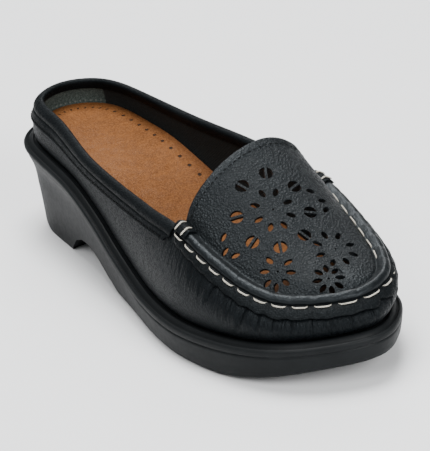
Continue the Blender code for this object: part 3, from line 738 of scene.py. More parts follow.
def blackLeather(name, cells, grainDepth, dark, light, gloss, dull, shine, treatment=None):
    # treatment says what the mask does: smooth, or dark for painted shade where the mask is high, or asks
    # for gathers under the seam
    made = Finish(name, {"Specular IOR Level": shine, "Coat Weight": 0.012, "Coat Roughness": 0.22})
    made.shader.inputs["Specular Tint"].default_value = (0.84, 0.94, 1.0, 1)
    grain = made.group("grain", Cells=cells, Warp=0.12 / cells)
    fine = made.group("grain", Cells=cells * 2.7, Warp=0.15 / cells)
    patina = made.group("patina", Spots=45.0)
    tree = made.tree
    height = mathNode(tree, "ADD", grain.outputs["Height"],
                      mathNode(tree, "MULTIPLY", fine.outputs["Height"], 0.35))
    creases = grain.outputs["Creases"]
    if treatment == "smooth":
        raw = mathNode(tree, "SUBTRACT", 1.0, mathNode(tree, "MULTIPLY", made.mask(), 0.8))
        height = mathNode(tree, "MULTIPLY", height, raw)
        creases = mathNode(tree, "MULTIPLY", creases, raw)
    shade = made.mix(patina.outputs["Shade"], dark, light)
    # painted shade: the grain's creases are coloured darker
    shade = made.mix(mathNode(tree, "MULTIPLY", creases, 0.6), shade, tuple(c * 0.45 for c in dark))
    if treatment == "dark":
        # painted shade: the colour goes almost black where the mask marks a hollow
        hollowShade = mathNode(tree, "MULTIPLY", made.mask(), 0.9, clamp=True)
        shade = made.mix(hollowShade, shade, (0.0004, 0.0004, 0.0004))
    roughness = mathNode(tree, "ADD", rangeNode(tree, patina.outputs["Dull"], 0.0, 1.0, gloss, dull),
                         mathNode(tree, "MULTIPLY", creases, 0.18), clamp=True)
    normal = made.bump(height, grainDepth)
    if treatment == "gathers":
        # short uneven pleats under the seam round the toe
        across, down, _ = made.uv()
        spot = addNode(tree, "ShaderNodeCombineXYZ")
        tree.links.new(mathNode(tree, "MULTIPLY", across, 520.0), spot.inputs["X"])
        tree.links.new(mathNode(tree, "MULTIPLY", down, 95.0), spot.inputs["Y"])
        pleats = addNode(
            tree, "ShaderNodeTexNoise", {"Scale": 1.0, "Detail": 3.0, "Roughness": 0.6, "Distortion": 0.4}
        )
        tree.links.new(spot.outputs[0], pleats.inputs["Vector"])
        near = mathNode(tree, "MULTIPLY", rangeNode(tree, down, 0.007, 0.017, 1.0, 0.0),
                        rangeNode(tree, made.axes()[1], -0.022, -0.050, 0.0, 1.0))
        normal = made.bump(mathNode(tree, "MULTIPLY", pleats.outputs[0], near), 0.0016, normal)
    return made.close(shade, roughness, normal)


def makeInsoleLeather():
    settings = {"holePitch": 0.0065, "holeInset": 0.0052, "holeRadius": 0.00078}
    made = Finish("tanInsole", {"Specular IOR Level": 0.07})
    tree = made.tree
    alongEdge, inset, _ = made.uv()
    grain = made.group("grain", Cells=1500.0, Warp=0.0003)
    patina = made.group("patina", Spots=28.0)
    holes = made.group(
        "dotRow", vector=False, Pitch=settings["holePitch"], Place=settings["holeInset"],
        Radius=settings["holeRadius"],
    )
    tree.links.new(alongEdge, holes.inputs["Along"])
    tree.links.new(inset, holes.inputs["Inset"])
    shade = made.mix(patina.outputs["Shade"], (0.082, 0.0290, 0.0075), (0.122, 0.046, 0.0140))
    # painted shade: the grain's creases are coloured darker
    creaseShade = mathNode(tree, "MULTIPLY", grain.outputs["Creases"], 0.35)
    shade = made.mix(creaseShade, shade, (0.060, 0.020, 0.005))
    shade = made.mix(mathNode(tree, "MULTIPLY", patina.outputs["Dull"], 0.30), shade, (0.165, 0.060, 0.015))
    flecks = made.group("patina", Spots=190.0)
    flecked = mathNode(tree, "MULTIPLY", flecks.outputs["Shade"], 0.50)
    shade = made.mix(flecked, shade, (0.052, 0.018, 0.005))
    shade = made.mix(mathNode(tree, "MULTIPLY", flecks.outputs["Dull"], 0.60), shade, (0.200, 0.086, 0.032))
    # painted shade: darker at the footbed's rounded edge, where it meets the wall
    edgeShade = rangeNode(tree, inset, 0.0, 0.004, 0.55, 0.0)
    shade = made.mix(edgeShade, shade, (0.085, 0.030, 0.009))
    # painted shadow: darker towards the toe, where the plug covers the footbed
    toeShadow = rangeNode(tree, made.axes()[1], -0.036, -0.080, 0.0, 0.90)
    shade = made.mix(toeShadow, shade, (0.010, 0.0045, 0.002))
    # painted shade inside the pinholes, with a dip in the bump
    shade = made.mix(holes.outputs["Mask"], shade, (0.02, 0.012, 0.008))
    height = mathNode(tree, "SUBTRACT", mathNode(tree, "MULTIPLY", grain.outputs["Height"], 0.28),
                      mathNode(tree, "MULTIPLY", holes.outputs["Mask"], 1.0))
    roughness = rangeNode(tree, patina.outputs["Dull"], 0.0, 1.0, 0.52, 0.68)
    return made.close(shade, roughness, made.bump(height, 0.0006))


def makeLining():
    # the wall's inner side: leather cloth, with an open textile round the heel
    made = Finish("liningCloth", {"Specular IOR Level": 0.12, "Sheen Weight": 0.02})
    tree = made.tree
    alongEdge, down, vector = made.uv()
    heel = rangeNode(tree, made.mask(), 0.35, 0.65)
    weave = made.group("weave", vector=False, Ribs=1500.0)
    tree.links.new(vector, weave.inputs["Vector"])
    stitches = made.group("dotRow", vector=False, Pitch=0.0031, Place=0.0105, Radius=0.00055)
    tree.links.new(alongEdge, stitches.inputs["Along"])
    tree.links.new(down, stitches.inputs["Inset"])
    shade = made.mix(weave.outputs["Shade"], (0.0050, 0.0052, 0.0048), (0.0120, 0.0125, 0.0115))
    textile = made.mix(weave.outputs["Shade"], (0.020, 0.026, 0.023), (0.060, 0.072, 0.064))
    shade = made.mix(heel, shade, textile)
    pale = mathNode(tree, "MULTIPLY", stitches.outputs["Mask"], heel)
    shade = made.mix(mathNode(tree, "MULTIPLY", pale, 0.7), shade, (0.10, 0.10, 0.09))
    return made.close(shade, rangeNode(tree, weave.outputs["Shade"], 0.0, 1.0, 0.75, 0.9),
                      made.bump(weave.outputs["Height"], 0.00018))


def makeRubber():
    # matte moulded rubber; the mask marks where the tread has its fine lines
    made = Finish("moulding", {"Specular IOR Level": 0.07, "Coat Weight": 0.03, "Coat Roughness": 0.28})
    tree = made.tree
    skin = made.group("rubberSkin")
    patina = made.group("patina", Spots=60.0)
    x, y = made.axes()
    linePitch = 0.0017
    mask = made.mask()
    lines = []
    for operation in ("ADD", "SUBTRACT"):
        slanted = mathNode(tree, operation, x, y)
        wave = mathNode(tree, "SINE", mathNode(tree, "MULTIPLY", slanted, 2 * math.pi / linePitch))
        lines.append(rangeNode(tree, wave, -0.3, 0.5))
    first = mathNode(tree, "MULTIPLY", lines[0], rangeNode(tree, mask, 0.2, 0.4))
    second = mathNode(tree, "MULTIPLY", lines[1], rangeNode(tree, mask, 0.7, 0.9))
    raised = mathNode(tree, "MAXIMUM", first, second)
    shade = made.mix(skin.outputs["Shade"], (0.0056, 0.0064, 0.0069), (0.0074, 0.0084, 0.0090))
    # painted highlight: the raised fine lines are coloured lighter
    shade = made.mix(mathNode(tree, "MULTIPLY", raised, 0.5), shade, (0.009, 0.010, 0.011))
    shade = made.mix(mathNode(tree, "MULTIPLY", patina.outputs["Specks"], 0.25), shade, (0.03, 0.03, 0.03))
    rough = rangeNode(tree, patina.outputs["Dull"], 0.0, 1.0, 0.50, 0.56)
    normal = made.bump(skin.outputs["Height"], 0.00006)
    return made.close(shade, rough, made.bump(raised, 0.0004, normal))


def makeThread(name, dark, light, roughness, shine):
    made = Finish(name, {"Specular IOR Level": shine})
    tree = made.tree
    t, turn, _ = made.uv()
    patina = made.group("patina", Spots=220.0)
    slant = mathNode(tree, "ADD", mathNode(tree, "MULTIPLY", t, 9.0), mathNode(tree, "MULTIPLY", turn, 2.0))
    twist = mathNode(tree, "SINE", mathNode(tree, "MULTIPLY", slant, 2 * math.pi))
    shade = made.mix(patina.outputs["Dull"], dark, light)
    # painted shade in the grooves of the thread's twist
    groove = rangeNode(tree, twist, -1.0, -0.2, 0.45, 0.0)
    shade = made.mix(groove, shade, tuple(c * 0.5 for c in dark))
    made.shader.inputs["Roughness"].default_value = roughness
    return made.close(shade, None, made.bump(twist, 0.00012))


finishes = {
    "upper": blackLeather(
        "satinBlackLeather", 1500.0, 0.00007,
        (0.0022, 0.0029, 0.0035), (0.0036, 0.0046, 0.0054), 0.38, 0.43, 0.085, "gathers",
    ),
    "plug": blackLeather(
        "pebbledBlackLeather", 900.0, 0.00034,
        (0.0024, 0.0031, 0.0037), (0.0046, 0.0057, 0.0064), 0.32, 0.45, 0.17, "smooth",
    ),
    "binding": blackLeather(
        "bindingLeather", 1500.0, 0.00008,
        (0.0018, 0.0024, 0.0029), (0.0034, 0.0043, 0.0050), 0.42, 0.54, 0.06,
    ),
    "flap": blackLeather(
        "gatheredFlap", 1300.0, 0.00012,
        (0.0018, 0.0024, 0.0028), (0.0036, 0.0045, 0.0051), 0.42, 0.56, 0.08, "dark",
    ),
    "rawEdge": blackLeather(
        "rawEdge", 1900.0, 0.00020,
        (0.0015, 0.0015, 0.0015), (0.004, 0.004, 0.004), 0.7, 0.85, 0.05,
    ),
    "insole": makeInsoleLeather(),
    "lining": makeLining(),
    "rubber": makeRubber(),
    "whiteThread": makeThread("waxedWhiteThread", (0.34, 0.32, 0.27), (0.56, 0.53, 0.46), 0.6, 0.25),
    "darkThread": makeThread(
        "waxedBlackThread", (0.0012, 0.0012, 0.0014), (0.003, 0.003, 0.0032), 0.7, 0.06,
    ),
}
print("finishes made:", len(finishes))


# Sole
sole = {
    "sideColumns": 800,
    "sideRows": 44,
    "bottomColumns": 120,
    "heelPlate": 0.0480,
    "archLength": 0.0640,
    "archHeight": 0.0132,
    "treadDepth": 0.0010,
    "treadBorder": 0.0060,
    "treadStart": 0.1130,
    "lugWidth": 0.0065,
    "lugTail": 0.0095,
    "toothPitch": 0.0056,
    "toothSlot": 0.0028,
    "toothLength": 0.0065,
    "heelToothPitch": 0.0052,
    "dropWidth": 0.0034,
    "dropTail": 0.0040,
    "rimLine": 0.0005,
}
lugRows = table(
    "station lateral medial size",
    (0.530, -0.140, 0.170, 0.55),
    (0.600, -0.160, 0.170, 0.70),
    (0.670, -0.180, 0.175, 0.85),
    (0.740, -0.180, 0.180, 1.00),
    (0.815, -0.160, 0.180, 1.10),
)


def archHeight(s):
    share = (s - sole["heelPlate"]) / sole["archLength"]
    return np.maximum(np.interp(share, archRows["station"], archRows["rise"], 0, 0), 0) * sole["archHeight"]


def soleFloor(s):
    return np.maximum(treadHeight(s / shoe["length"]), archHeight(s))


def sideInset(station, height):
    # how far the side stands back from the rim at a height above the floor
    flare = along(flareRows, "heel", station)
    floor = treadHeight(station)
    share = np.clip((height - floor) / (rimHeight(station) - floor), 0, 1)
    forefoot = along(sideRows, "forefoot", share)
    left = forefoot + flare * (along(sideRows, "heel", share) - forefoot)
    taper = shoe["forefootTaper"] + flare * (shoe["heelTaper"] - shoe["forefootTaper"])
    return left * taper


def soleSide(a, b):
    turn = 4 * a
    station = outline.station(turn)
    rim = rimHeight(station)
    floor = soleFloor(station * shoe["length"])
    wallShare = 0.62
    up = np.clip(b / wallShare, 0, 1)
    height = floor + (rim - floor) * up
    below = rim - height
    inset = sideInset(station, height) + sole["rimLine"] * np.exp(-((below - 0.0016) / 0.0004) ** 2)
    knot = np.clip((b - wallShare) / (1 - wallShare), 0, 1) * 7
    beadInset = along(beadRows, "inset", knot) * shoe["beadWidth"]
    beadRise = along(beadRows, "rise", knot) * beadHeight
    onBead = b > wallShare
    inset = np.where(onBead, beadInset, inset)
    height = np.where(onBead, rim + beadRise, height)
    return {"points": place(turn, inset, height), "across": outline.run(turn), "down": height}


def dropMask(x, s, centreX, centreS, width, tail, direction):
    ahead = (x - centreX) * direction
    aside = np.abs(s - centreS)
    head = np.hypot(ahead, aside) - width / 2
    narrowed = width / 2 * np.clip(1 - ahead / tail, 0, 1)
    body = np.maximum(aside - narrowed, ahead - tail)
    return 1 - smooth(np.where(ahead > 0, body, head), -0.0002, 0.0003)


def slotMask(x, s, pitch, count, middle):
    across = x / pitch + (count + 1) % 2 * 0.5
    offset = np.abs(across - np.round(across)) * pitch
    inRow = (np.abs(x) < pitch * count / 2) * (1 - smooth(np.abs(s - middle), 0.0031, 0.0034))
    return (1 - smooth(offset, sole["toothSlot"] / 2 - 0.0002, sole["toothSlot"] / 2 + 0.0002)) * inRow


def soleRelief(x, s, edge):
    # how deep the underside is sunk, and the mask for its fine lines
    station = s / shoe["length"]
    inTread = smooth(edge, sole["treadBorder"] - 0.0003, sole["treadBorder"] + 0.0003)
    inTread = inTread * smooth(s, sole["treadStart"] - 0.0003, sole["treadStart"] + 0.0003)
    relief = sole["treadDepth"] * inTread
    mask = inTread * np.where(station > 0.78, 1.0, 0.5)
    for row in range(len(lugRows["station"])):
        size = lugRows["size"][row]
        centreS = lugRows["station"][row] * shoe["length"]
        for side in ("lateral", "medial"):
            centreX = lugRows[side][row] * shoe["width"]
            direction = -1 if side == "lateral" else 1
            width, length = sole["lugWidth"] * size, sole["lugTail"] * size
            drop = dropMask(x, s, centreX, centreS, width, length, direction)
            relief = relief * (1 - drop)
            mask = mask * (1 - drop)
            ahead = (x - centreX) * direction
            tail = smooth(ahead, 0.004 * size, 0.006 * size)
            tail = tail * (1 - smooth(np.abs(s - centreS), 0.0003, 0.0006))
            relief = relief + 0.0006 * tail * inTread
    teeth = slotMask(x, s, sole["toothPitch"], 11, sole["treadStart"] - sole["toothLength"] / 2)
    relief = np.maximum(relief, 2 * sole["treadDepth"] * teeth)
    heelTeeth = slotMask(x, s, sole["heelToothPitch"], 7, sole["heelPlate"] - sole["toothLength"] / 2)
    relief = np.maximum(relief, sole["treadDepth"] * heelTeeth)
    for across in (-0.10, 0.10):
        for share in (0.25, 0.52):
            drop = dropMask(x, s, across * shoe["width"], share * sole["heelPlate"], sole["dropWidth"],
                            sole["dropTail"], -1)
            relief = np.maximum(relief, sole["treadDepth"] * drop)
    beforeTeeth = sole["heelPlate"] - 0.0075
    onHeel = smooth(edge, 0.0030, 0.0034) * (1 - smooth(s, beforeTeeth, beforeTeeth + 0.0005))
    mask = np.maximum(mask, 0.5 * onHeel * (s < sole["heelPlate"]))
    groove = np.exp(-((edge - 0.0022) / 0.00035) ** 2)
    groove = groove * smooth(s, sole["treadStart"], sole["treadStart"] + 0.004)
    relief = relief + 0.0005 * groove
    frameX = np.abs(x) - 0.0085
    frameS = np.abs(s - 0.0800) - 0.0150
    border = np.exp(-(np.maximum(frameX, frameS) / 0.0004) ** 2)
    relief = relief + 0.0005 * border * (frameX < 0.001) * (frameS < 0.001)
    ring = np.hypot(x, s - 0.1020) - 0.0038
    relief = relief + 0.0004 * np.exp(-(ring / 0.0003) ** 2)
    return relief, mask


def soleBottom(a, b):
    lateral = 2 * b
    medial = 4 - 2 * b
    ends = []
    for turn in (lateral, medial):
        station = outline.station(turn)
        floor = soleFloor(station * shoe["length"])
        ends.append(place(turn, sideInset(station, floor), floor))
    points = ends[0] * (1 - a[:, None]) + ends[1] * a[:, None]
    width = np.linalg.norm(ends[1] - ends[0], axis=1)
    edge = np.minimum(a, 1 - a) * width
    tip = np.minimum(points[:, 1] - soleLow.y, soleHigh.y - points[:, 1]) - 0.004
    edge = np.minimum(edge, np.maximum(tip, 0))
    x = points[:, 0]
    s = soleHigh.y - points[:, 1]
    relief, mask = soleRelief(x, s, edge)
    inner = smooth(edge, 0.0, 0.0006)
    points[:, 2] = points[:, 2] * (1 - inner) + soleFloor(s) * inner + relief * inner
    return {"points": points, "across": x, "down": s, "mask": mask}


def soleTop(a, b):
    ends = []
    for turn in (2 * b, 4 - 2 * b):
        rim = rimHeight(outline.station(turn))
        inset = beadRows["inset"][-1] * shoe["beadWidth"]
        ends.append(place(turn, inset, rim + beadRows["rise"][-1] * beadHeight))
    return {"points": ends[0] * (1 - a[:, None]) + ends[1] * a[:, None]}


def makeSole():
    bm = newMesh()
    layGrid(bm, sole["sideColumns"], sole["sideRows"], soleSide)
    layGrid(bm, sole["bottomColumns"], sole["sideColumns"] // 2, soleBottom)
    layGrid(bm, 4, sole["sideColumns"] // 2, soleTop)
    made = makePiece(bm, "wedgeSole", [finishes["rubber"]], sharp=50)
    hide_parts("outsole")


makeSole()


# Upper
upper = {
    "columns": 640,
    "rows": 56,
    "gatherPitch": 0.0031,
    "gatherDepth": 0.00042,
    "gatherReach": 0.0080,
    "tuck": 0.0007,
}
# creases below the seam: place along it from the lateral tab, start below it, reach, width and
# depth in millimetres, and how far the crease leans towards the toe
creaseRows = table(
    "place start reach width depth lean",
    (16, 4, 9, 1.6, 0.35, 2.0),
    (23, 4, 11, 1.5, 0.40, 2.0),
    (29, 4, 10, 1.2, 0.45, 1.5),
    (31, 3, 11, 1.7, 1.30, -3.5),
    (41, 4, 9, 1.2, 0.50, -1.0),
    (48, 4, 13, 2.0, 1.30, -3.0),
    (54, 4, 11, 1.3, 0.60, 0.8),
    (60, 4, 10, 1.2, 0.50, 0.5),
    (67, 4, 11, 1.4, 0.60, 0.5),
    (74, 4, 10, 1.2, 0.45, 0.3),
    (81, 4, 9, 1.3, 0.50, 0.3),
    (89, 4, 9, 1.2, 0.45, 0.0),
    (97, 4, 8, 1.3, 0.45, 0.0),
    (106, 4, 8, 1.4, 0.60, 0.0),
    (115, 4, 9, 1.7, 0.90, 0.0),
    (123, 4, 8, 1.3, 0.50, 0.0),
    (131, 4, 9, 1.2, 0.45, -0.3),
    (140, 4, 9, 1.2, 0.45, -0.5),
    (150, 4, 9, 1.3, 0.40, -0.5),
    (162, 4, 9, 1.3, 0.35, -0.5),
    (176, 4, 9, 1.4, 0.30, -0.5),
)


def toeFold(run, depth):
    # troughs of the gathers round the toe, deeper where a crease is listed
    sunk = np.zeros_like(run)
    for first, start, reach, width, deep, lean in zip(*creaseRows.values()):
        below = np.clip((depth - start * 0.001) / (reach * 0.001), 0, 2)
        centre = first * 0.001 + lean * 0.001 * below
        fade = smooth(depth, (start - 1.5) * 0.001, start * 0.001) * (1 - smooth(below, 0.25, 1.0))
        sunk += deep * 0.001 * np.exp(-((run - centre) / (width * 0.0005)) ** 2) * fade
        swell = np.exp(-((np.abs(run - centre) - width * 0.0011) / (width * 0.0007)) ** 2)
        sunk -= 0.30 * deep * 0.001 * swell * fade
    wander = 0.9 * np.sin(run / 0.0131) + 0.8 * np.sin(run / 0.0057) + 220 * (depth - 0.004)
    wave = np.abs(np.sin(math.pi * run / upper["gatherPitch"] + wander))
    ends = smooth(run, 0.004, 0.02) * (1 - smooth(run, seamLength - 0.05, seamLength - 0.02))
    uneven = 0.6 + 0.4 * np.sin(run / 0.0043 + 1.7) * np.sin(run / 0.0087)
    reach = upper["gatherReach"] * (0.7 + 0.3 * np.sin(run / 0.0061))
    fade = (1 - smooth(depth, 0.003, 0.003 + reach)) * ends * uneven
    tuck = upper["tuck"] * np.exp(-(((depth - flapWidth(run) - 0.0003) / 0.0006) ** 2)) * ends
    return sunk + upper["gatherDepth"] * (1 - wave) * fade + tuck


def upperWall(a, v):
    toeShare = 0.72  # the share of the columns that goes to the toe
    turn = np.where(a < toeShare, 1 + 2 * a / toeShare, 3 + 2 * (a - toeShare) / (1 - toeShare))
    height = wallHeight(turn)
    depth = (1 - v) * height
    onToe = (turn > 1) & (turn < 3)
    run = seamRunAt(np.clip(turn, 1, 3))
    sunk = np.where(onToe, toeFold(run, depth), 0.0)
    foot = 0.0006 * np.exp(-((v * height) / 0.0016) ** 2)
    points = wallPoint(turn, v, -sunk - foot)
    heel = np.minimum(np.abs(turn - 4), 1.0)
    return {
        "points": points,
        "across": outline.run(turn),
        "down": depth,
        "mask": 1 - smooth(heel, 0.155, 0.165),
    }


def makeUpper():
    bm = newMesh()
    layGrid(bm, upper["columns"], upper["rows"], upperWall)
    made = makePiece(bm, "vampAndHeelWall", [finishes["upper"], finishes["lining"]],
                     centre=(0, 0, shoe["forefootHeight"]))
    solidify(made, shoe["upperWall"] - 0.0001, inner=1, rim=1)
    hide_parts("upper")


# Flap of the vamp's edge, outside the white stitches
stitches = {
    "pitch": 0.0082,
    "frontPitch": 0.0026,  # what the pitch gains round the toe
    "dash": 0.77,
    "radius": 0.00036,
    "depth": 0.0002,
    "outward": 0.0011,
}


def stitchMarks():
    marks = [0.0]
    while marks[-1] < seamLength:
        front = math.exp(-(((seamTurn(marks[-1]) - 1.95) / 0.24) ** 2))
        marks.append(marks[-1] + stitches["pitch"] + stitches["frontPitch"] * front)
    return np.array(marks) * seamLength / marks[-1]


stitchRuns = stitchMarks()


def stitchPhase(run):
    # 0 where the thread goes in and 1 in the middle of a stitch
    knot = np.interp(run, stitchRuns, np.arange(len(stitchRuns)))
    return np.abs(np.sin(math.pi * knot))


flap = {
    "columns": 700,
    "rows": 16,
    "thickness": 0.0008,
    "pinch": 0.0006,
}
# its width in millimetres, with a nick beside the toe's medial corner
flapRows = table(
    "station width",
    (1.00, 2.6),
    (1.15, 3.1),
    (1.40, 3.3),
    (1.70, 3.5),
    (1.95, 3.3),
    (2.07, 3.0),
    (2.10, 2.0),
    (2.13, 3.4),
    (2.30, 3.7),
    (2.60, 3.2),
    (3.00, 2.6),
)


def flapWidth(run):
    ragged = 0.25 * np.sin(run / 0.0031) + 0.2 * np.sin(run / 0.0012 + 1.3) + 0.15 * np.sin(run / 0.0007)
    width = along(flapRows, "width", seamTurn(run)) * 0.001
    return width * (1 + 0.10 * ragged) * (0.90 + 0.12 * stitchPhase(run))


def flapSkin(a, b):
    margin = 0.001
    run = margin + a * (seamLength - 2 * margin)
    turn = seamTurn(run)
    phase = stitchPhase(run)
    width = flapWidth(run)
    ends = np.minimum(smooth(a, 0, 0.015), 1 - smooth(a, 0.985, 1))
    depth = -0.0005 + (width + 0.0005) * b
    swell = np.sin(math.pi * np.clip(b * 0.85 + 0.1, 0, 1)) * 0.0007
    pulled = (1 - phase) ** 2 * (1 - smooth(b, 0.1, 0.9))
    outward = 0.0010 + swell - flap["pinch"] * pulled
    outward += 0.00010 * np.sin(run / 0.0011 + 3 * b) * np.sin(b * 7)
    outward = outward * ends + 0.0009 * (1 - ends)
    tucked = 1 - smooth(b, 0.0, 0.14)
    outward -= 0.0016 * tucked
    depth = depth - 0.0005 * tucked
    # the mask marks the flap's top near the stitch holes, where it is pulled in, for painted shade
    hollowShade = np.exp(-(((depth - 0.0002) / 0.0007) ** 2)) * np.clip(1 - phase * 2.2, 0, 1)
    return {"points": wallDepth(turn, depth, outward), "across": run, "down": depth, "mask": hollowShade}


def makeFlap():
    bm = newMesh()
    layGrid(bm, flap["columns"], flap["rows"], flapSkin)
    made = makePiece(bm, "vampEdgeFlap", [finishes["flap"], finishes["rawEdge"]],
                     centre=(0, 0, shoe["forefootHeight"]))
    solidify(made, flap["thickness"], inner=0, rim=1)


makeUpper()
makeFlap()


# Plug
plug = {
    "columns": 156,
    "rows": 120,
    "slopeLength": 1.25,
    "foldWidth": 0.0036,
    "foldLift": 0.00035,
    "foldGroove": 0.00035,
    "roundEdge": 0.0006,
    "pull": 0.00035,
    "lump": 0.00007,
}


def throatRun(share):
    first, last = spineRows["station"][0], spineRows["station"][-1]
    return (last - first) * (1 - (1 - share) ** crownBend) * shoe["length"] * plug["slopeLength"]


def plugSkin(a, b):
    side = a > 0.5
    inwards = 1 - np.abs(2 * a - 1)
    run = throatRun(b)
    field = smooth(inwards, 0.22, 0.32)
    fold = plug["foldLift"] * (1 - smooth(run, plug["foldWidth"] - 0.0004, plug["foldWidth"])) * field
    groove = plug["foldGroove"] * np.exp(-((run - plug["foldWidth"]) / 0.0004) ** 2) * field
    dent = 0.0003 * np.exp(-((inwards - 0.25) / 0.02) ** 2)
    points = plugPoint(b, side, inwards, fold - groove - dent)
    smoothed = 1 - smooth(inwards, 0.20, 0.30)
    smoothed = np.maximum(smoothed, 0.6 * (1 - smooth(run, 0.003, 0.0036)))
    toe = smooth(b, 0.70, 0.95) * 0.6
    seam = seamRunAt(np.where(side, 3 - b, 1 + b))
    onRidge = np.sin(math.pi * np.clip(inwards / ridgeShare, 0, 1))
    uneven = plug["pull"] * (1 - stitchPhase(seam)) ** 2 + plug["lump"] * np.sin(seam / 0.0029)
    points[:, 2] -= uneven * onRidge
    return {"points": points, "across": run, "down": inwards, "mask": np.maximum(smoothed, toe)}


flowerRows = table(
    "station offset radius turn",
    (0.763, -0.012, 0.081, 0),
    (0.863, 0.128, 0.080, 0),
    (0.846, -0.158, 0.060, 0),
    (0.908, 0.001, 0.052, 22.5),
)
sprayRows = table(
    "station offset turn",
    (0.741, -0.251, 200),
    (0.757, -0.277, 180),
    (0.776, -0.256, 150),
    (0.754, 0.211, -20),
    (0.772, 0.238, 0),
    (0.790, 0.224, 30),
)
holes = {
    "petals": 8,
    "petalLength": 0.0042,
    "petalWidth": 0.0023,
    "circleRing": 0.168,
    "circleTurn": math.radians(19),
    "circleRadius": 0.0029,
    "circleBar": 0.0011,
    "pin": 0.00045,
    "reach": 0.0040,
    "apart": {"pin": 0.002, "petal": 0.0030, "left": 0.0046, "right": 0.0046},
}


def petalHole(bm):
    made = bmesh.ops.create_circle(bm, cap_ends=True, segments=16, radius=1)["verts"]
    for vert in made:
        lean = 1 - 0.25 * abs(vert.co.x) ** 3
        x, y = vert.co.x * holes["petalLength"] / 2, vert.co.y * holes["petalWidth"] / 2
        vert.co = Vector((x, y * lean, 0))
    return made


def pinHole(bm):
    return bmesh.ops.create_circle(bm, cap_ends=True, segments=10, radius=holes["pin"])["verts"]


def halfHole(bm, side):
    made = bmesh.ops.create_circle(bm, cap_ends=True, segments=28, radius=holes["circleRadius"])["verts"]
    faces = list({face for vert in made for face in vert.link_faces})
    edges = list({edge for face in faces for edge in face.edges})
    parts = bmesh.ops.bisect_plane(
        bm, geom=made + edges + faces, plane_co=(0, side * holes["circleBar"] / 2, 0),
        plane_no=(0, -side, 0), clear_outer=True,
    )
    return [part for part in parts["geom"] if isinstance(part, bmesh.types.BMVert)]


def ornamentPlaces():
    places = []
    width, length = shoe["width"], shoe["length"]
    for station, offset, radius, first in zip(*flowerRows.values()):
        x, y = offset * width, soleHigh.y - station * length
        places.append((x, y, 0.0, "pin"))
        for k in range(holes["petals"]):
            turn = math.radians(first) + 2 * math.pi * k / holes["petals"]
            reach = radius * width
            places.append((x + reach * math.cos(turn), y + reach * math.sin(turn), turn, "petal"))
    x, y = flowerRows["offset"][0] * width, soleHigh.y - flowerRows["station"][0] * length
    for k in range(holes["petals"]):
        turn = holes["circleTurn"] + 2 * math.pi * k / holes["petals"]
        reach = holes["circleRing"] * width
        for kind in ("left", "right"):
            places.append((x + reach * math.cos(turn), y + reach * math.sin(turn), turn, kind))
    for station, offset, turn in zip(*sprayRows.values()):
        places.append((offset * width, soleHigh.y - station * length, math.radians(turn), "petal"))
    # a punch that would run into a neighbour is left out
    kept = []
    for spot in sorted(places, key=lambda spot: spot[3] == "petal"):
        crowded = any(math.dist(spot[:2], other[:2]) < holes["apart"][other[3]] for other in kept)
        if spot[3] != "petal" or not crowded:
            kept.append(spot)
    return kept


def ornamentCutter(skin):
    whole = bmesh.new()
    makers = {
        "petal": petalHole,
        "pin": pinHole,
        "left": lambda bm: halfHole(bm, -1),
        "right": lambda bm: halfHole(bm, 1),
    }
    for x, y, turn, kind in ornamentPlaces():
        spot, normal, _, _ = skin.ray_cast(Vector((x, y, 2 * shoe["instepHeight"])), Vector((0, 0, -1)))
        if spot is None:
            continue
        bm = bmesh.new()
        makers[kind](bm)
        grown = bmesh.ops.extrude_face_region(bm, geom=list(bm.faces))["geom"]
        moved = [part for part in grown if isinstance(part, bmesh.types.BMVert)]
        bmesh.ops.translate(bm, verts=moved, vec=(0, 0, 2 * holes["reach"]))
        bmesh.ops.recalc_face_normals(bm, faces=bm.faces)
        tilt = Vector((0, 0, 1)).rotation_difference(normal).to_matrix().to_4x4()
        matrix = Matrix.Translation(spot - normal * holes["reach"]) @ tilt @ Matrix.Rotation(turn, 4, "Z")
        bmesh.ops.transform(bm, matrix=matrix, verts=bm.verts)
        mesh = bpy.data.meshes.new("hole")
        bm.to_mesh(mesh)
        bm.free()
        whole.from_mesh(mesh)
        bpy.data.meshes.remove(mesh)
    mesh = bpy.data.meshes.new("ornamentCutter")
    whole.to_mesh(mesh)
    whole.free()
    made = bpy.data.objects.new("ornamentCutter", mesh)
    bpy.context.scene.collection.objects.link(made)
    return made


def makePlug():
    bm = newMesh()
    layGrid(bm, plug["columns"], plug["rows"], plugSkin)
    made = makePiece(bm, "perforatedPlug", [finishes["plug"], finishes["lining"]],
                     centre=(0, 0, shoe["forefootHeight"]))
    skin = BVHTree.FromObject(made, bpy.context.evaluated_depsgraph_get())
    solidify(made, shoe["plugWall"] * 0.8, inner=1)
    roundEdges(made, plug["roundEdge"])
    cutter = ornamentCutter(skin)
    hole = made.modifiers.new("ornament", "BOOLEAN")
    hole.operation = "DIFFERENCE"
    hole.solver = "MANIFOLD"
    hole.object = cutter
    settle(made)
    bpy.data.objects.remove(cutter)
    made.data.set_sharp_from_angle(angle=math.radians(50))
    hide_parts("plug")
    print(f"plug cut: {len(made.data.polygons)} faces")


makePlug()


# Collar
collar = {
    "columns": 420,
    "sides": 72,
    "bandHeel": 0.0066,
    "bandTab": 0.0053,
    "bandFrom": 0.0027,
    "sectionDepth": 0.0075,
    "end": 0.993,
    "endSlant": 0.022,
}
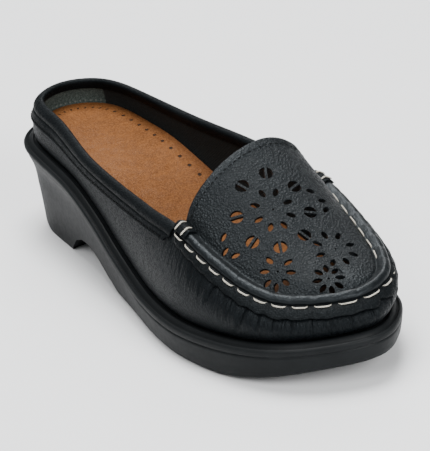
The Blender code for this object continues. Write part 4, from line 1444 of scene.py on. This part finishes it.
# section of the bound band in millimetres: depth below the wall's top edge, distance outwards
collarSection = (
    (7.4, 0.4), (7.8, 0.7), (7.8, 1.05), (7.45, 1.30), (6.9, 1.25), (6.3, 1.15), (5.4, 1.15),
    (4.2, 1.15),
    (3.2, 1.10), (2.65, 0.80), (2.2, 1.10), (1.6, 1.45), (0.8, 1.60), (0.0, 1.45), (-0.75, 1.00),
    (-1.2, 0.30),
    (-1.4, -0.5), (-1.3, -1.3), (-0.9, -2.1), (-0.1, -2.7), (1.0, -2.95), (2.4, -2.95), (3.4, -2.8),
    (3.5, -2.4), (2.4, -2.2), (0.8, -2.1), (-0.2, -1.7), (-0.6, -0.7), (-0.4, 0.0), (0.4, 0.35), (3.0, 0.4),
)


def collarProfile(b):
    knots = np.arange(len(collarSection) + 1)
    points = np.array(collarSection + collarSection[:1]) * 0.001
    at = b * len(collarSection)
    rows = {"station": knots, "depth": points[:, 0], "outward": points[:, 1]}
    return along(rows, "depth", at), along(rows, "outward", at)


def bandWidth(turn):
    nearTab = np.clip(outline.station(turn) / tabStation, 0, 1) ** 2
    return collar["bandHeel"] + (collar["bandTab"] - collar["bandHeel"]) * nearTab


def collarBand(a, b):
    depth, outward = collarProfile(b)
    end = collar["end"] - collar["endSlant"] * smooth(depth, 0.001, 0.007) * (outward > 0)
    turn = -end + 2 * end * a
    stretch = (bandWidth(turn) - collar["bandFrom"]) / (collar["sectionDepth"] - collar["bandFrom"])
    long = collar["bandFrom"] + (depth - collar["bandFrom"]) * stretch
    depth = np.where((depth > collar["bandFrom"]) & (outward > 0), long, depth)
    return {"points": wallDepth(turn, depth, outward), "across": outline.run(turn), "down": depth}


def makeCollar():
    bm = newMesh()
    layGrid(bm, collar["columns"], collar["sides"], collarBand)
    bmesh.ops.remove_doubles(bm, verts=bm.verts, dist=2e-6)
    bmesh.ops.holes_fill(bm, edges=[edge for edge in bm.edges if edge.is_boundary])
    made = makePiece(bm, "boundCollar", [finishes["binding"]], sharp=60)
    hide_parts("collar")


makeCollar()


# Tabs
tab = {
    "length": 0.0082,
    "columns": 22,
    "rows": 24,
    "thickness": 0.0011,
    "rise": 0.0010,
    "roundEdge": 0.0004,
}


tabReach = tab["length"] / (seamLength / 2)


def overRidge(b):
    return ridgeShare * (0.12 + 0.86 * b)


def outwardLean(b, medial, far):
    # how far a keeper's outer end stands off the wall, sideways
    return (1.0 if medial else -1.0) * (1 - smooth(b, 0.0, 0.35)) * far


def makeTab(name, node, medial):

    def skin(a, b):
        share = 0.004 + tabReach * a
        inwards = overRidge(b)
        side = np.full(a.shape, medial)
        points = plugPoint(share, side, inwards, tab["rise"])
        points[:, 0] += outwardLean(b, medial, 0.0009)
        points[:, 2] += np.sin(math.pi * a) * 0.0003
        return {"points": points, "across": a * tab["length"], "down": b}

    bm = newMesh()
    layGrid(bm, tab["columns"], tab["rows"], skin)
    made = makePiece(bm, name, [finishes["binding"]],
                     centre=(0, 0, shoe["forefootHeight"]))
    solidify(made, tab["thickness"])
    roundEdges(made, tab["roundEdge"])
    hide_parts(node)


makeTab("lateralKeeper", "tab_lateral", False)
makeTab("medialKeeper", "tab_medial", True)


# Insole
insole = {
    "columns": 400,
    "rows": 34,
    "thickness": 0.0050,
    "cup": 0.0032,
    "round": 0.0050,
    "dish": 0.0008,
}
insoleEdge = shoe["beadWidth"] + 2 * clearance + shoe["upperWall"] + 0.0005


def insoleSkin(a, b):
    # rows: up the side, over the rounded edge and in to the middle line
    turn = 4 * a
    station = outline.station(turn)
    edgePoint = place(turn, insoleEdge, 0)
    middleStation = np.clip(station, 0.10, 0.90)
    middleX = np.interp(middleStation * shoe["length"], *middleLine)
    middle = np.column_stack([middleX, soleHigh.y - middleStation * shoe["length"], np.zeros_like(a)])
    sideShare = 0.10
    inwards = np.clip((b - sideShare) / (1 - sideShare), 0, 1)
    reach = np.linalg.norm((middle - edgePoint)[:, :2], axis=1)
    points = edgePoint + (middle - edgePoint) * inwards[:, None]
    inset = reach * inwards
    s = (soleHigh.y - points[:, 1]) / shoe["length"]
    top = wallFoot(s) + insole["thickness"]
    cup = insole["cup"] * along(cupRows, "rise", s)
    rise = np.interp(inset, (0, insole["round"] / 2, insole["round"], 0.012), (1.0, 0.55, 0.2, 0.08))
    middleDish = insole["dish"] * smooth(inset, 0.006, 0.02)
    points[:, 2] = top + cup * rise - middleDish
    side = np.clip(b / sideShare, 0, 1)
    points[:, 2] = np.where(b < sideShare, wallFoot(s) + (points[:, 2] - wallFoot(s)) * side, points[:, 2])
    return {"points": points, "across": outline.run(turn), "down": inset}


def insoleUnder(a, b):
    ends = []
    for turn in (2 * b, 4 - 2 * b):
        ends.append(place(turn, insoleEdge, wallFoot(outline.station(turn))))
    return {"points": ends[0] * (1 - a[:, None]) + ends[1] * a[:, None]}


def findMiddleLine():
    turns = np.linspace(0, 2, 200)
    left = place(turns, insoleEdge, 0)
    right = place(4 - turns, insoleEdge, 0)
    stations = soleHigh.y - (left[:, 1] + right[:, 1]) / 2
    return stations, (left[:, 0] + right[:, 0]) / 2


middleLine = findMiddleLine()


def makeInsole():
    bm = newMesh()
    layGrid(bm, insole["columns"], insole["rows"], insoleSkin)
    layGrid(bm, 4, insole["columns"] // 2, insoleUnder)
    made = makePiece(bm, "tanFootbed", [finishes["insole"]], sharp=60)
    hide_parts("insole")


makeInsole()


# White hand stitches in the seam
def makeSeamStitches():
    # dashes at the ridge's outer foot, and at its inner foot along the medial side
    bm = newMesh()
    share = np.linspace(-1, 1, 13)
    dip = np.abs(share) ** 6
    for start, end in zip(stitchRuns, stitchRuns[1:]):
        run = (start + end) / 2 + share * (end - start) / 2 * stitches["dash"]
        turn = seamTurn(run)
        outward = stitches["outward"] + 0.0004 - 0.0011 * dip
        path = wallDepth(turn, stitches["depth"] - 0.0002 * dip, outward)
        path[:, 2] += 0.0003 - 0.0009 * smooth(turn, 2.15, 2.35)
        addStitch(bm, path, stitches["radius"], rings=14)
        if turn[0] > 2.30:
            medial = np.full(turn.shape, True)
            nearToe = 1 - smooth(turn, 2.30, 2.60)
            path = plugPoint(3 - turn, medial, 0.25 - 0.03 * nearToe, 0.0005 - 0.0007 * dip)
            addStitch(bm, path, stitches["radius"] * 1.15, rings=14)
    return makePiece(bm, "handStitches", [finishes["whiteThread"]])


makeSeamStitches()


def makeTabStitches(name, medial):
    # two curved stitches over each keeper
    bm = newMesh()
    bow = 0.05
    for start in (0.22, 0.74):
        b = np.linspace(-0.02, 0.90, 15)
        share = 0.004 + tabReach * (start + bow * np.sin(math.pi * b))
        inwards = overRidge(b)
        side = np.full(b.shape, medial)
        path = plugPoint(share, side, np.clip(inwards, 0, 1), tab["rise"] + 0.0005)
        path[:, 0] += outwardLean(b, medial, 0.0012)
        addStitch(bm, path, 0.00042, rings=16)
    return makePiece(bm, name, [finishes["whiteThread"]])


makeTabStitches("lateralCrossStitches", False)
makeTabStitches("medialCrossStitches", True)


# Dark machine stitches
seamLines = {
    "pitch": 0.0026,
    "length": 0.0019,
    "radius": 0.00026,
}


def makeStitchLine(name, line):
    bm = newMesh()
    run = runAlong(line)
    count = int(run[-1] / seamLines["pitch"])
    for k in range(count):
        at = np.linspace(0, seamLines["length"], 5) + k * run[-1] / count
        path = np.column_stack([np.interp(at, run, line[:, axis]) for axis in range(3)])
        addStitch(bm, path, seamLines["radius"], rings=6, sides=6)
    makePiece(bm, name, [finishes["darkThread"]])


def makeCollarStitches():
    turns = np.linspace(-0.960, 0.960, 900)
    line = wallDepth(turns, bandWidth(turns) - 0.0009, np.full(turns.shape, 0.00125))
    makeStitchLine("collarStitchLine", line)


def makeThroatStitches():
    a = np.linspace(0.13, 0.87, 700)
    share = np.interp(plug["foldWidth"] - 0.0002, throatRun(np.linspace(0, 1, 400)), np.linspace(0, 1, 400))
    line = plugPoint(np.full(a.shape, share), a > 0.5, 1 - np.abs(2 * a - 1), 0.00005)
    makeStitchLine("throatStitchLine", line)


makeCollarStitches()
makeThroatStitches()


# Floor, light and camera
def makeFloor():
    bm = bmesh.new()
    bmesh.ops.create_grid(bm, x_segments=2, y_segments=2, size=6.0)
    mesh = bpy.data.meshes.new("paleFloor")
    bm.to_mesh(mesh)
    bm.free()
    made = bpy.data.objects.new("paleFloor", mesh)
    bpy.context.scene.collection.objects.link(made)
    finish = Finish("paleFloor", {"Roughness": 0.9, "Specular IOR Level": 0.1})
    patina = finish.group("patina", Spots=1.5)
    shade = finish.mix(patina.outputs["Shade"], (0.70, 0.705, 0.71), (0.72, 0.725, 0.73))
    mesh.materials.append(finish.close(shade))


makeFloor()

lights = {
    "key": {"place": (-0.9, -0.5, 1.1), "size": 0.9, "power": 14},
    "top": {"place": (0.1, 0.3, 1.5), "size": 1.0, "power": 50},
    "front": {"place": (0.1, -1.3, 0.7), "size": 0.8, "power": 24},
    "back": {"place": (0.8, 0.9, 0.9), "size": 0.7, "power": 8},
}
for name, light in lights.items():
    data = bpy.data.lights.new(name, "AREA")
    data.shape = "DISK"
    data.size = light["size"]
    data.energy = light["power"]
    lamp = bpy.data.objects.new(name, data)
    lamp.location = light["place"]
    aim = Vector((0, 0, 0.03)) - Vector(light["place"])
    lamp.rotation_euler = aim.to_track_quat("-Z", "Y").to_euler()
    bpy.context.scene.collection.objects.link(lamp)

world = bpy.data.worlds.new("studio")
bpy.context.scene.world = world
world.use_nodes = True
world.node_tree.nodes["Background"].inputs["Color"].default_value = (0.96, 0.98, 1.0, 1)
world.node_tree.nodes["Background"].inputs["Strength"].default_value = 0.34

view = {
    "azimuth": math.radians(-33.65),
    "elevation": math.radians(23.23),
    "roll": math.radians(-4.72),
    "distance": 1.2979,
    "slideRight": -0.0691,
    "slideUp": -0.0546,
    "centre": (0.00175, 0.0, 0.025),
    "focalPixels": 1592.9,
    "shoePixel": (137, 288),  # middle of the shoe in the photograph
    "frame": (430, 451),
    "closer": 1.9,
}


def makeCamera():
    azimuth, elevation = view["azimuth"], view["elevation"]
    right = Vector((math.cos(azimuth), math.sin(azimuth), 0))
    ahead = Vector((-math.sin(azimuth) * math.cos(elevation), math.cos(azimuth) * math.cos(elevation),
                    -math.sin(elevation)))
    up = right.cross(ahead)
    roll = view["roll"]
    right, up = right * math.cos(roll) + up * math.sin(roll), up * math.cos(roll) - right * math.sin(roll)
    eye = Vector(view["centre"]) - ahead * view["distance"]
    eye -= right * view["slideRight"] + up * view["slideUp"]
    width, height = view["frame"]
    offX = view["shoePixel"][0] - width / 2
    offY = height / 2 - view["shoePixel"][1]
    aim = (ahead * view["focalPixels"] + right * offX + up * offY).normalized()
    swing = ahead.rotation_difference(aim)
    right, up = swing @ right, swing @ up
    data = bpy.data.cameras.new("camera")
    data.sensor_width = 36
    data.lens = view["focalPixels"] * data.sensor_width / height * view["closer"]
    made = bpy.data.objects.new("camera", data)
    made.matrix_world = Matrix((
        (right.x, up.x, -aim.x, eye.x),
        (right.y, up.y, -aim.y, eye.y),
        (right.z, up.z, -aim.z, eye.z),
        (0, 0, 0, 1),
    ))
    bpy.context.scene.collection.objects.link(made)
    bpy.context.scene.camera = made


makeCamera()
print("floor, light and camera made")
